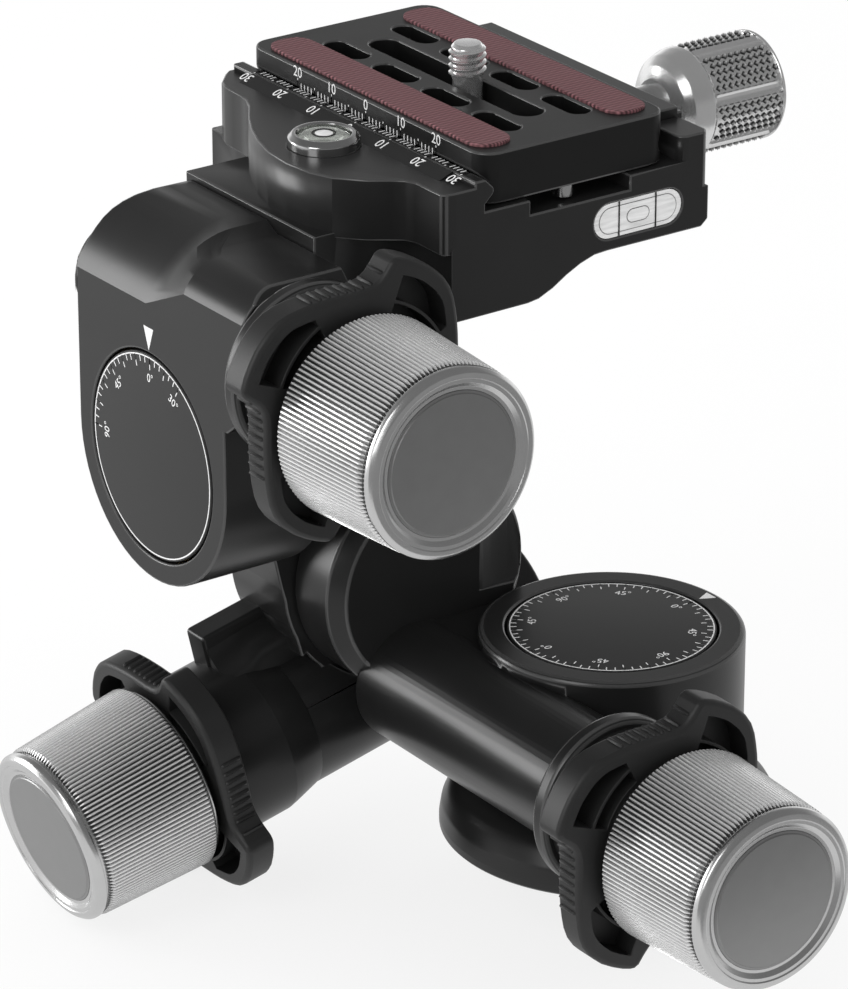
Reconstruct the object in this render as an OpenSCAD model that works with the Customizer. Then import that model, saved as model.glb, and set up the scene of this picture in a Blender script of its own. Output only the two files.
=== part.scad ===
// Geared tripod head for a camera: three worm-driven axes stacked one on another.
// Pan turns about Z, tilt about Y and roll about X. Each drive has a worm shaft in an
// eccentric sleeve; turning the four-lobed collar swings the worm out of its wheel.
// Units are mm, +Z is up, the origin is the centre of the foot's underside.

/* [Worm drives] */
// Pitch radius of the worm wheels
wheel_pr = 17.4; // [16.6:0.1:17.6]
// Teeth on a worm wheel
wheel_teeth = 48; // [44:1:52]
// Face width of a worm wheel
wheel_w = 7; // [5:0.5:8]
// Pitch radius of the worm
worm_pr = 4.8; // [4.7:0.1:5]
// Side clearance of the thread, each side
backlash = 0.12; // [0.08:0.01:0.2]
// Length of the worm shaft behind the wheel plane
worm_tail = 20; // [18:0.5:21]
// Radius of the worm shaft
shaft_r = 3; // [2.5:0.1:3.4]
// Running clearance of journals, on the radius
fit = 0.05; // [0.02:0.01:0.1]
// Clearance between faces that pass each other
run_gap = 0.4; // [0.3:0.05:0.6]

/* [Release sleeves and collars] */
// Outer radius of the eccentric sleeve
sleeve_r = 8.3; // [8.1:0.1:8.6]
// Eccentricity of the worm in its sleeve
ecc = 1.8; // [1.6:0.1:2]
// Angle of the eccentricity at rest
ecc_a = 40; // [34:1:44]
// Release travel of the collar, degrees
release_a = 55; // [50:1:58]
// Outer radius of the collar's lobes
collar_r = 23.7; // [22:0.1:23.8]
// Depth of the thumb pads between the lobes
pad_deep = 5.3; // [4:0.1:6]
// Thickness of the collar
collar_t = 5.4; // [4.8:0.2:6.4]
// Outer radius of the collar's hub
hub_r = 13.2; // [12:0.1:13.6]
// Wire radius of the return spring
spring_wire = 0.6; // [0.4:0.1:0.7]

/* [Barrels] */
// Outer radius of the pan and roll barrels
barrel_r = 11.2; // [10.8:0.1:12]
// Outer radius of the tilt barrel
tilt_barrel_r = 13.6; // [12.8:0.2:14]
// Radius of the ring near the barrel's mouth
barrel_ring_r = 15.1; // [14.4:0.1:16]
// Rear edge of that ring, from the wheel plane
ring_z = 29.7; // [29.2:0.1:30.4]
// Length of that ring
ring_len = 3.5; // [2.5:0.1:4]
// Front of the roll drive's box, from the wheel plane
box_front = 28; // [27:0.2:28.6]
// Closed end of the barrel, from the wheel plane
barrel_back = 27.3; // [26.5:0.2:28]

/* [Drive knobs] */
// Largest radius of a drive knob
knob_r = 17; // [15:0.5:18]
// Radius of the knob at its front rim
knob_front_r = 15.75; // [14.5:0.25:16]
// Length of a drive knob
knob_len = 25; // [23:0.5:26]
// Front face of a drive knob, from the wheel plane
knob_face = 73.5; // [72:0.5:76]
// Radius of the recessed cap in the knob's face
cap_r = 12; // [10:0.2:12.6]

/* [Foot and pan axis] */
// Radius of the foot
foot_r = 29.4; // [28:0.2:32]
// Height of the foot's upright rim
foot_rim = 1.8; // [1:0.2:3]
// Height of the foot
foot_h = 9.5; // [8.5:0.1:9.7]
// Radius of the tripod thread's crest circle
tripod_r = 4.1; // [3:0.1:5]
// Outer radius of the thread bush
bush_r = 8; // [7:0.2:9]
// Depth of the tripod thread
bush_len = 12; // [10:0.5:14]
// Outer radius of the pan housing's drum
drum_r = 22.8; // [22.2:0.2:24]
// Height of the pan wheel's middle plane
pan_z = 22.7; // [22.5:0.1:24]
// Top of the pan housing
drum_top = 37.2; // [36.5:0.1:38]
// Thickness of a dial
dial_t = 4; // [3:0.5:5]
// Radius of the dials
dial_r = 17.9; // [17:0.1:18]

/* [Tilt axis] */
// Tilt axis, across the head
tilt_x = -20; // [-20.6:0.1:-19.4]
// Tilt axis, height
tilt_z = 41.3; // [41:0.1:44]
// Middle plane of the tilt wheel
tilt_y = 44.5; // [44.2:0.1:46]
// Radius of the tilt cheek
cheek_r = 20.5; // [19:0.1:20.6]
// Front face of the tilt cheek
cheek_y0 = 24.4; // [24:0.2:26]
// Back face of the tilt cheek
cheek_y1 = 36.5; // [36:0.1:36.6]
// Droop of the tilt worm below level, degrees
tilt_droop = 13; // [10:1:16]
// Radius of the tilt housing's drum
tilt_drum_r = 22.3; // [21.8:0.1:23]
// Rear face of the tilt housing
tilt_back = 53.9; // [53:0.1:54.1]

/* [Roll axis] */
// Roll axis, along the head
roll_y = 28; // [27:0.2:29]
// Roll axis, height
roll_z = 77; // [76.6:0.2:78]
// Middle plane of the roll wheel
roll_x = -65.3; // [-65.8:0.1:-65]
// Inner face of the roll housing
roll_back = -53.6; // [-53.8:0.1:-53]
// Outer face of the roll housing
roll_face = -74.1; // [-75:0.1:-74]
// Lower radius of the roll housing
roll_r = 22.1; // [21.5:0.1:23]
// Radius of the arm's bearing disc
arm_disc_r = 20; // [18:0.2:21]

/* [Quick-release clamp] */
// Top of the clamp's flange
clamp_top = 126; // [125:0.2:128]
// Thickness of the flange
flange_t = 10.5; // [9:0.5:12]
// Depth of the plate channel in the clamp
channel_deep = 4.4; // [4:0.1:5]
// Length of the clamp along the plate
clamp_len = 70.4; // [66:0.2:76]
// Outer face of the clamp's end posts
clamp_right = 13.2; // [12:0.2:15]
// Length of an end post along the plate
post_len = 8.6; // [6:0.2:10]
// Thickness of the moving jaw
jaw_t = 7.2; // [6:0.2:9]
// Height of the jaw above the flange
jaw_up = 1.6; // [0.5:0.1:2.2]
// Travel of the jaw
jaw_travel = 4; // [3:0.5:5]
// Radius of the clamp screw's thread
cscrew_r = 2.5; // [2:0.1:3]
// Radius of the clamp knob
cknob_r = 9.7; // [8.5:0.1:11]
// Length of the clamp knob's grip
cknob_len = 16.8; // [14:0.2:20]

/* [Camera plate] */
// Width of the camera plate
plate_w = 37.4; // [36:0.2:38.4]
// Length of the camera plate
plate_len = 68; // [60:0.5:74]
// Thickness of the camera plate
plate_t = 8.7; // [8:0.1:10]
// Middle of the plate across the clamp
plate_x = -13.1; // [-13.4:0.1:-12.6]
// Width of the long screw slot
slot_w = 5.6; // [5.4:0.1:6]
// Length of the long screw slot
slot_len = 46; // [40:1:50]
// Width of a grip pad
pad_w = 7.7; // [6:0.1:8]
// Length of a grip pad
pad_len = 62.5; // [54:0.5:66]
// Radius of the camera thread
cam_thread_r = 3.17; // [2.8:0.01:3.3]
// Height of the camera thread above the plate
cam_thread_up = 6; // [4:0.5:10]

/* [Levels] */
// Radius of the round level's housing
bull_r = 6; // [5:0.1:7]
// Height of the round level above the flange
bull_up = 2.3; // [1.5:0.1:3.5]
// Radius of the tube level's glass
tube_r = 2.8; // [2.2:0.1:3]
// Length of the tube level's window
window_len = 18; // [14:0.5:19]

/* [Hidden] */
$fn = 64;
pitch = 2 * PI * wheel_pr / wheel_teeth;
add = 0.272 * pitch;
ded = 0.351 * pitch;
wheel_tip = wheel_pr + add;
wheel_root = wheel_pr - ded;
worm_tip = worm_pr + add;
worm_root = worm_pr - ded;
tooth_t = pitch / 2 - backlash;
ca = wheel_pr + worm_pr;
lead_a = atan(pitch / (2 * PI * worm_pr));
wheel_turn = wheel_w * tan(lead_a) / wheel_pr * 180 / PI;
worm_turns = 8;
worm_half = (worm_turns / 2 + 0.37) * pitch;
worm_end = worm_half + 1.7;
sx = -ecc * cos(ecc_a);
sy = ecc * sin(ecc_a);
sleeve_bore = worm_tip + 0.33;
bush_in = worm_end + 0.3;
bush_out = bush_in + 8;
sleeve_back = worm_tail + 4;
win_h = worm_half + 0.65;
win_a0 = -atan2(wheel_w / 2 + sy, ca - wheel_tip - sx) - 4;
win_a1 = atan2(wheel_w / 2 - sy, ca - wheel_tip - sx) + release_a + 4;
cavity_r = wheel_tip + 0.28;
spindle_r = 7;
journal_r = 12;
knob_back = knob_face - knob_len;
collar_z = knob_back - 1.1 - collar_t;
barrel_front = collar_z - 3;
sleeve_front = knob_back - 0.3;
neck_r = hub_r + 0.2;
horn_a = 74;
// outline of a lobe: degrees after its steep end, share of the pad's depth
lobe = [[0, 0.04], [3, 0], [17, 0], [26, 0.06], [33, 0.17], [39, 0.38], [46, 0.58], [52, 0.73],
  [60, 0.89], [71, 1], [78, 0.97], [83, 0.84], [86, 0.5], [88, 0.16], [90, 0.04]];
lobe_steps = [0, 2, 6, 11, 17, 22, 26, 31, 36, 41, 46, 52, 58, 64, 71, 77, 81, 84, 86, 88];
spring_r = hub_r + spring_wire + 0.6;
dial_top_gap = 0.2;

// ---------- outlines and sweeps ----------
function arc(c, r, a0, a1, n) = [for (i = [0:n]) c + r * [cos(a0 + (a1 - a0) * i / n),
  sin(a0 + (a1 - a0) * i / n)]];

// worm thread: columns round the axis, four rows a turn, joined where the helix steps up
module worm_thread(n = 20) {
  m = worm_turns;
  w_tip = tooth_t / 2 - add * tan(20);
  w_root = tooth_t / 2 + ded * tan(20);
  s = [[-w_root, worm_root], [-w_tip, worm_tip], [w_tip, worm_tip], [w_root, worm_root]];
  rows = 4 * m;
  function pt(i, j) = let (q = s[j % 4], a = 360 * i / n)
    [q[1] * cos(a), q[1] * sin(a), (floor(j / 4) - m / 2) * pitch + q[0] + pitch * i / n];
  function ring(i, z) = [(worm_root - 0.1) * cos(360 * i / n), (worm_root - 0.1) * sin(360 * i / n), z];
  c0 = [for (j = [0:rows + 3]) pt(0, j)];
  cs = [for (i = [1:n - 1]) for (j = [0:rows - 1]) pt(i, j)];
  rb = [for (i = [0:n - 1]) ring(i, -worm_end)];
  rt = [for (i = [0:n - 1]) ring(i, worm_end)];
  nc = rows + 4;
  function v(i, j) = i == 0 ? j : i == n ? j + 4 : nc + (i - 1) * rows + j;
  b0 = nc + (n - 1) * rows;
  t0 = b0 + n;
  faces = concat(
    [for (i = [0:n - 1]) for (j = [0:rows - 2]) each [[v(i, j), v(i, j + 1), v(i + 1, j + 1)],
      [v(i, j), v(i + 1, j + 1), v(i + 1, j)]]],
    [for (i = [0:n - 1]) each [[b0 + i, v(i, 0), v(i + 1, 0)],
      [b0 + i, v(i + 1, 0), b0 + (i + 1) % n]]],
    [for (j = [0:3]) [b0, v(0, j + 1), v(0, j)]],
    [for (i = [0:n - 1]) each [[t0 + i, v(i + 1, rows - 1), v(i, rows - 1)],
      [t0 + i, t0 + (i + 1) % n, v(i + 1, rows - 1)]]],
    [for (j = [rows - 1:rows + 2]) [t0, v(0, j + 1), v(0, j)]],
    [[for (i = [0:n - 1]) b0 + i]], [[for (i = [0:n - 1]) t0 + n - 1 - i]]);
  polyhedron(concat(c0, cs, rb, rt), faces, convexity = 8);
}

// wheel cut with helical teeth that follow the worm's lead
module wheel(bore) {
  h_tip = (tooth_t / 2 - add * tan(20)) / wheel_tip * 180 / PI;
  h_root = (tooth_t / 2 + ded * tan(20)) / wheel_root * 180 / PI;
  step = 360 / wheel_teeth;
  difference() {
    rotate(-wheel_turn / 2)
      linear_extrude(height = wheel_w, center = true, twist = -wheel_turn, slices = 2, convexity = 4) polygon([for (k = [0:wheel_teeth - 1]) let (a = 180 + (k + 0.5) * step)
        each [wheel_root * [cos(a - h_root), sin(a - h_root)], wheel_tip * [cos(a - h_tip), sin(a - h_tip)],
          wheel_tip * [cos(a + h_tip), sin(a + h_tip)], wheel_root * [cos(a + h_root), sin(a + h_root)]]]);
    cylinder(h = wheel_w + 2, r = bore, center = true);
    for (s = [-1, 1]) translate([0, 0, s * (wheel_w / 2 - 0.45)]) difference() {
      cylinder(h = 1, r = wheel_root - 1.8, center = true);
      cylinder(h = 2, r = bore + 2.4, center = true);
    }
  }
}

// open coil of round wire about Z, one unbroken tube of 8 sides
module coil(r, wire, rise, turns, per = 24, sides = 8) {
  n = round(turns * per);
  pts = [for (i = [0:n]) for (k = [0:sides - 1]) let (a = 360 * i / per, b = 360 * k / sides,
    q = r + wire * cos(b)) [q * cos(a), q * sin(a), rise * i / per + wire * sin(b)]];
  f = [for (i = [0:n - 1]) for (k = [0:sides - 1]) let (k2 = (k + 1) % sides)
    each [[i * sides + k, (i + 1) * sides + k2, (i + 1) * sides + k],
      [i * sides + k, i * sides + k2, (i + 1) * sides + k2]]];
  polyhedron(pts, concat(f, [[for (k = [0:sides - 1]) sides - 1 - k]],
    [[for (k = [0:sides - 1]) n * sides + k]]), convexity = 4);
}

// ---------- frames ----------
// wheel frames: the wheel's axis is Z, its worm lies at -X and the knob points to -Y
module at_pan() translate([0, 0, pan_z]) children();
module at_tilt() translate([tilt_x, tilt_y, tilt_z]) rotate([0, -90 - tilt_droop, 0])
  rotate([-90, 0, 0]) children();
module at_roll() translate([roll_x, roll_y, roll_z]) rotate([90, 0, 0]) rotate([0, 0, -90])
  rotate([-90, 0, 0]) children();
// worm frame: Z runs along the worm to the knob; sleeve frame: the same, on the sleeve's axis
module on_worm() translate([-ca, 0, 0]) rotate([90, 0, 0]) children();
module on_sleeve() on_worm() translate([sx, sy, 0]) children();

// ---------- one drive ----------
module worm_shaft() {
  worm_thread();
  translate([0, 0, -worm_tail]) cylinder(h = worm_tail - worm_end + 0.5, r = shaft_r);
  translate([0, 0, worm_end - 0.5]) cylinder(h = knob_face - 1.6 - worm_end, r = shaft_r);
}
module sleeve() difference() {
  translate([0, 0, -sleeve_back]) cylinder(h = sleeve_back + sleeve_front, r = sleeve_r);
  translate([-sx, -sy, -worm_tail - 0.3]) cylinder(h = worm_tail + sleeve_front + 1, r = sleeve_bore);
  linear_extrude(height = 2 * win_h, center = true)
    polygon(concat([[0, 0]], arc([0, 0], 2 * sleeve_r, win_a0, win_a1, 6)));
}
module bushes() for (s = [-1, 1]) translate([-sx, -sy, s * (bush_in + bush_out) / 2]) difference() {
  cylinder(h = bush_out - bush_in, r = sleeve_bore, center = true);
  cylinder(h = bush_out, r = shaft_r + fit, center = true);
}
function lobe_pt(p, cut = 0) = (collar_r - cut - pad_deep * lookup(p, lobe)) * [cos(-p), sin(-p)];
module well(r0, r1) polygon(concat([for (p = [5:3:44]) min(norm(lobe_pt(p, 2.7)), r1) * [cos(-p), sin(-p)]],
  arc([0, 0], r0, -44, -5, 10)));
module collar(turn = 0) difference() {
  union() {
    translate([0, 0, collar_z]) rotate(horn_a + turn) linear_extrude(height = collar_t, convexity = 4)
      polygon([for (k = [0:3]) for (p = lobe_steps) let (q = lobe_pt(p))
        [q[0] * cos(90 * k) + q[1] * sin(90 * k), q[1] * cos(90 * k) - q[0] * sin(90 * k)]]);
    translate([0, 0, barrel_front + 0.5]) cylinder(h = sleeve_front - barrel_front - 0.5, r = hub_r);
  }
  cylinder(h = 200, r = sleeve_r, center = true);
  // two wells in each lobe, parted by a thin rib
  for (k = [0:3]) rotate(horn_a + turn + 90 * k) translate([0, 0, collar_z + 0.9])
    linear_extrude(height = collar_t) {
      well(hub_r + 0.6, hub_r + 3.1);
      well(hub_r + 3.7, collar_r);
    }
}
module collar_spring() translate([0, 0, barrel_front + spring_wire])
  coil(spring_r, spring_wire, 1.3, 1.2);
module knob() rotate_extrude($fn = 96) polygon([[shaft_r, knob_back + 1.5], [6.5, knob_back + 1.5],
  [6.5, knob_back + 7.5], [14.4, knob_back + 7.5], [knob_r - 1.8, knob_back + 0.5],
  [knob_r - 0.6, knob_back], [knob_r, knob_back + 0.9], [knob_front_r + 0.35, knob_face - 5.3],
  [knob_front_r - 0.5, knob_face - 4.9], [knob_front_r - 0.5, knob_face - 4.3],
  [knob_front_r, knob_face - 3.9], [knob_front_r, knob_face - 1.5], [knob_front_r - 0.4, knob_face - 0.5],
  [knob_front_r - 1.3, knob_face], [cap_r, knob_face], [cap_r, knob_face - 1.6], [shaft_r, knob_face - 1.6]]);
module knob_cap() translate([0, 0, knob_face - 1.6]) cylinder(h = 1.2, r = cap_r);

// barrel round a sleeve, with a ring near its mouth and a closed end
module barrel(back_r, r = barrel_r) rotate_extrude($fn = 96) polygon(concat([[0, -barrel_back]],
  arc([back_r - 1.2, 1.2 - barrel_back], 1.2, -90, 0, 4),
  [[r, -4], [r, ring_z - 0.3], [barrel_ring_r - 0.6, ring_z], [barrel_ring_r, ring_z + 0.6],
   [barrel_ring_r, ring_z + ring_len - 0.7], [barrel_ring_r - 0.7, ring_z + ring_len],
   [neck_r, ring_z + ring_len], [neck_r, barrel_front], [0, barrel_front]]));
module sleeve_hole() translate([0, 0, -sleeve_back - run_gap]) cylinder(h = 200, r = sleeve_r + fit);

// ---------- foot and pan ----------
seat_z = 4;
pan_wall_top = pan_z - wheel_w / 2 - 0.5;
dial_z0 = drum_top - dial_top_gap - dial_t;
module base_foot() color("#1c1d1f") difference() {
  rotate_extrude($fn = 96) polygon([[0, 0], [foot_r - 0.5, 0], [foot_r, 0.5], [foot_r, foot_rim],
    [foot_r - 0.6, foot_h * 0.5], [foot_r - 1.9, foot_h * 0.79], [foot_r - 4.4, foot_h * 0.93],
    [foot_r - 7.4, foot_h * 0.985], [foot_r - 9.4, foot_h], [0, foot_h]]);
  translate([0, 0, -1]) cylinder(h = seat_z + 2, r = bush_r);
  translate([0, 0, seat_z]) cylinder(h = foot_h, r = journal_r);
}
module thread_bush() color("#a9a9a4") difference() {
  cylinder(h = bush_len, r = bush_r);
  translate([0, 0, -1]) cylinder(h = bush_len + 2, r = tripod_r);
}
module pan_spindle() color("#8f9296") difference() {
  union() {
    translate([0, 0, seat_z]) cylinder(h = pan_z - wheel_w / 2 - seat_z, r = journal_r);
    translate([0, 0, seat_z]) cylinder(h = dial_z0 - seat_z, r = spindle_r);
    translate([0, 0, pan_z + wheel_w / 2]) cylinder(h = 2, r = spindle_r + 3);
  }
  translate([0, 0, -1]) cylinder(h = bush_len + 1, r = bush_r);
}
module pan_wheel() color("#c2a24c") at_pan() wheel(spindle_r);
module dial(rim) {
  cylinder(h = dial_t - rim + 0.2, r = journal_r + 2);
  translate([0, 0, dial_t - rim]) cylinder(h = rim - 0.5, r = dial_r);
  translate([0, 0, dial_t - 0.5]) cylinder(h = 0.5, r1 = dial_r, r2 = dial_r - 0.4);
}
module pan_dial() color("#26272a") translate([0, 0, dial_z0]) dial(3);
module pan_housing() color("#232427") difference() {
  union() {
    translate([0, 0, foot_h + run_gap]) cylinder(h = drum_top - foot_h - run_gap - 0.6, r = drum_r, $fn = 96);
    translate([0, 0, drum_top - 0.6]) cylinder(h = 0.6, r1 = drum_r, r2 = drum_r - 0.6, $fn = 96);
    at_pan() on_sleeve() barrel(barrel_r);
    // casting that joins the drum and the barrel to the tilt cheek
    translate([0, 0, 13]) linear_extrude(height = drum_top - 16) polygon([[tilt_x - 4, 4],
      [tilt_x - 4, cheek_y0 + 5], [tilt_x + 14, cheek_y0 + 5], [tilt_x + 20, cheek_y0 + 1],
      [tilt_x + 25, 16]]);
    translate([tilt_x, 0, tilt_z]) rotate([-90, 0, 0]) {
      translate([0, 0, cheek_y0]) cylinder(h = 2.5, r1 = cheek_r - 2.5, r2 = cheek_r, $fn = 96);
      translate([0, 0, cheek_y0 + 2.5]) cylinder(h = cheek_y1 - cheek_y0 - 2.5, r = cheek_r, $fn = 96);
    }
  }
  // journal, wheel chamber and dial recess
  cylinder(h = pan_z, r = journal_r + fit);
  translate([0, 0, pan_wall_top]) cylinder(h = 60, r = cavity_r);
  at_pan() on_sleeve() sleeve_hole();
  // room for the dial seen from above, in front of the cheek
  translate([0, 0, drum_top]) cylinder(h = 60, r = drum_r + 3.7, $fn = 96);
  translate([tilt_x, cheek_y1 - 6, tilt_z]) rotate([-90, 0, 0]) cylinder(h = 10, r = journal_r);
}

// ---------- tilt ----------
tilt_wall_y = tilt_y - wheel_w / 2 - 0.5;
tilt_front = cheek_y1 + run_gap;
cover_y = tilt_y + wheel_w / 2 + 0.4;
module along_tilt(y0, y1, r) translate([tilt_x, y0, tilt_z]) rotate([-90, 0, 0]) cylinder(h = y1 - y0, r = r);
module tilt_spindle() color("#8f9296") {
  along_tilt(cheek_y1 - 6, tilt_y - wheel_w / 2, journal_r);
  along_tilt(cheek_y1 - 6, tilt_back - 0.5, spindle_r);
}
module tilt_wheel() color("#c2a24c") at_tilt() wheel(spindle_r);
// side profile of the arm, in the tilt axis' own tilted frame: u along the worm, w across it
module tilt_frame() translate([tilt_x, 0, tilt_z]) rotate([0, -tilt_droop, 0]) children();
module side(y0, y1) translate([0, y1, 0]) rotate([90, 0, 0]) linear_extrude(height = y1 - y0) children();
rail_u = ring_z + 0.9;
arm_top = roll_z - tilt_z;
arm_x = roll_back + run_gap - tilt_x;
module tilt_housing() color("#202124") difference() {
  union() {
    along_tilt(tilt_front, tilt_back, tilt_drum_r);
    at_tilt() on_sleeve() barrel(tilt_barrel_r - 1.2, tilt_barrel_r);
    // leaning web, seen from the front, from the drum up to the bearing disc
    translate([tilt_x, 0, tilt_z]) side(tilt_front, tilt_back) polygon([
      [-tilt_drum_r * cos(tilt_droop) + 3, -14], [-tilt_drum_r / cos(tilt_droop), 0],
      [arm_x + 2, (-arm_x - 2 - tilt_drum_r / cos(tilt_droop)) / tan(tilt_droop)],
      [arm_x, arm_top - 9], [arm_x, arm_top + 6], [arm_x + 14, arm_top + 6], [arm_x + 17, arm_top],
      [-2, tilt_drum_r + 2], [6, tilt_drum_r - 1.2], [8, 4]]);
    // bearing disc of the roll axis and the flare that carries it
    translate([roll_back + run_gap, roll_y, roll_z]) rotate([0, 90, 0]) {
      cylinder(h = 5, r = arm_disc_r, $fn = 96);
      translate([0, 0, 5]) cylinder(h = 8, r1 = arm_disc_r, r2 = arm_disc_r - 6, $fn = 96);
    }
    translate([roll_back + run_gap, 0, 0]) rotate([90, 0, 90]) linear_extrude(height = 13) polygon([
      [roll_y - arm_disc_r * 0.9, roll_z - arm_disc_r * 0.42], [tilt_front, tilt_z + 20],
      [tilt_back, tilt_z + 20], [tilt_back, roll_z - 2], [roll_y + arm_disc_r * 0.86, roll_z + 10]]);
    // rail on the barrel, outside the web
    tilt_frame() {
      side(tilt_y + 2, tilt_y + 7) polygon([[-tilt_drum_r + 2, -2.6], [1.2 - rail_u, -2.6],
        [-rail_u, -4], [-rail_u, -6.6], [0.4 - box_front, -7.4], [0.4 - box_front, -16],
        [-tilt_drum_r + 2, -16]]);
      side(tilt_y - 3, tilt_y + 3) polygon([[-tilt_drum_r + 2, -6.4], [2 - box_front, -6.4],
        [0.8 - box_front, -8], [0.8 - box_front, -16], [-tilt_drum_r + 2, -16]]);
    }
  }
  // cheek's room, journal, wheel chamber
  along_tilt(0, tilt_front, cheek_r + 0.5);
  along_tilt(0, tilt_y, journal_r + fit);
  along_tilt(tilt_wall_y, 90, cavity_r);
  at_tilt() on_sleeve() sleeve_hole();
  // seat of the roll spindle
  translate([roll_back + run_gap - 1, roll_y, roll_z]) rotate([0, 90, 0]) cylinder(h = 9, r = journal_r);
}
module tilt_cover() color("#2a2b2e") difference() {
  along_tilt(cover_y, tilt_back - 0.3, cavity_r);
  along_tilt(0, 90, spindle_r + fit);
  at_tilt() on_sleeve() sleeve_hole();
}

// ---------- roll ----------
module along_roll(x0, x1, r) translate([x0, roll_y, roll_z]) rotate([0, 90, 0]) cylinder(h = x1 - x0, r = r);
roll_wall_x = roll_x + wheel_w / 2 + 0.5;
dial_x = roll_face + 0.1;
// the sleeve passes close behind the roll dial's edge
roll_dial_rim = min(2, roll_x + sy - sleeve_r - dial_x - 0.2);
module roll_spindle() color("#8f9296") {
  along_roll(roll_x + wheel_w / 2, roll_back + run_gap + 8, journal_r);
  along_roll(dial_x + dial_t, roll_back + run_gap + 8, spindle_r);
}
module roll_wheel() color("#c2a24c") at_roll() wheel(spindle_r);
module roll_dial() color("#26272a") translate([dial_x + dial_t, roll_y, roll_z]) rotate([0, -90, 0]) dial(roll_dial_rim);
shelf_z = clamp_top - 12;
rear_top = clamp_top - flange_t;
roll_front = roll_y - box_front;
// rounded outer top edge, with a ramp where it steps down to the shelf: [y, step down, radius]
crown = [[roll_y + roll_r + 1, 0, 12], [roll_y + 0.7, 0, 11.7], [roll_y - 4.5, 0, 9.3],
  [roll_y - 7.8, rear_top - shelf_z, 6.3], [roll_y - 10.8, rear_top - shelf_z, 4.9],
  [roll_front - 1, rear_top - shelf_z, 4.8]];
module crown_slice(c) translate([roll_face, c[0], rear_top - c[1]]) rotate([90, 0, 0])
  linear_extrude(height = 0.01) polygon(concat([[24, 0], [24, c[1] - 16], [0, c[1] - 16]],
    arc([c[2], -c[2]], c[2], 180, 90, 12)));
module crown_cut() difference() {
  translate([roll_face - 1, roll_front - 0.5, rear_top - 15]) cube([24, roll_y + roll_r - roll_front + 1, 20]);
  for (i = [0:4]) hull() { crown_slice(crown[i]); crown_slice(crown[i + 1]); }
}
module yz(x0, x1) translate([x0, 0, 0]) rotate([90, 0, 90]) linear_extrude(height = x1 - x0) children();
module roll_housing() color("#232427") difference() {
  union() {
    // upright leg with its round lower end
    yz(roll_face, roll_back) polygon(concat([[roll_y + roll_r, roll_z], [roll_y + roll_r, rear_top - 5]],
      arc([roll_y + roll_r - 5, rear_top - 5], 5, 0, 90, 6),
      [[roll_y + 1, rear_top], [roll_front + 6, rear_top], [roll_front + 6, roll_z + 12]],
      [[roll_y - roll_r, roll_z + 8], [roll_y - roll_r, roll_z]],
      arc([roll_y, roll_z], roll_r, 180, 360, 30)));
    // worm housing, boxed, with a barrel mouth
    yz(roll_face, roll_back) polygon(concat([[roll_y, roll_z + 14], [roll_y, shelf_z], [roll_front + 2, shelf_z]],
      [[roll_front, shelf_z - 2], [roll_front, roll_z + 16], [roll_front + 5, roll_z + 12]]));
    at_roll() on_sleeve() barrel(barrel_r - 1.6);
  }
  // outer faces: the barrel and the leg end flush with the dial face and the arm's side
  translate([roll_face - 40, roll_y - ring_z, 0]) cube([40, 120, 200]);
  translate([roll_back, roll_front + 3.4, 0]) cube([40, 120, 200]);
  crown_cut();
  along_roll(roll_x, roll_back + 5, journal_r + fit);
  along_roll(roll_face - 5, roll_wall_x, cavity_r);
  at_roll() on_sleeve() sleeve_hole();
  bolt_holes();
}

// ---------- clamp ----------
clamp_y0 = roll_y - clamp_len / 2;
clamp_y1 = roll_y + clamp_len / 2;
floor_z = clamp_top - channel_deep;
plate_z0 = floor_z + 0.3;
plate_l = plate_x - plate_w / 2;
plate_rt = plate_x + plate_w / 2;
vee = 1.7;
vee_z = clamp_top - 1.05;
screw_z = clamp_top - 9.5;
tube_z = clamp_top - 11.5;
jaw_low = clamp_top - 16.2;
jaw_in = clamp_right - 6;
jaw_out = jaw_in + jaw_t + 0.1;
flange_edge = [[-36.8, clamp_y1 - 1.5], [-39.2, 59], [-40.05, 56.6], [-40.15, 54.1], [-40.3, 51.7],
  [-40.7, 49.4], [-42.2, 46.3], [-45.5, 41.3], [-48, 36.7], [-50, 31.9], [-51.6, 26.4], [-52.1, 20.2],
  [-51.5, 14.5], [-49.9, 10.3], [-46, 6], [-43, 3.9], [-41.2, 2.5], [-40.3, 0.5], [-40.3, clamp_y0 + 0.9],
  [-39.6, clamp_y0 + 0.2], [-37.9, clamp_y0]];
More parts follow.
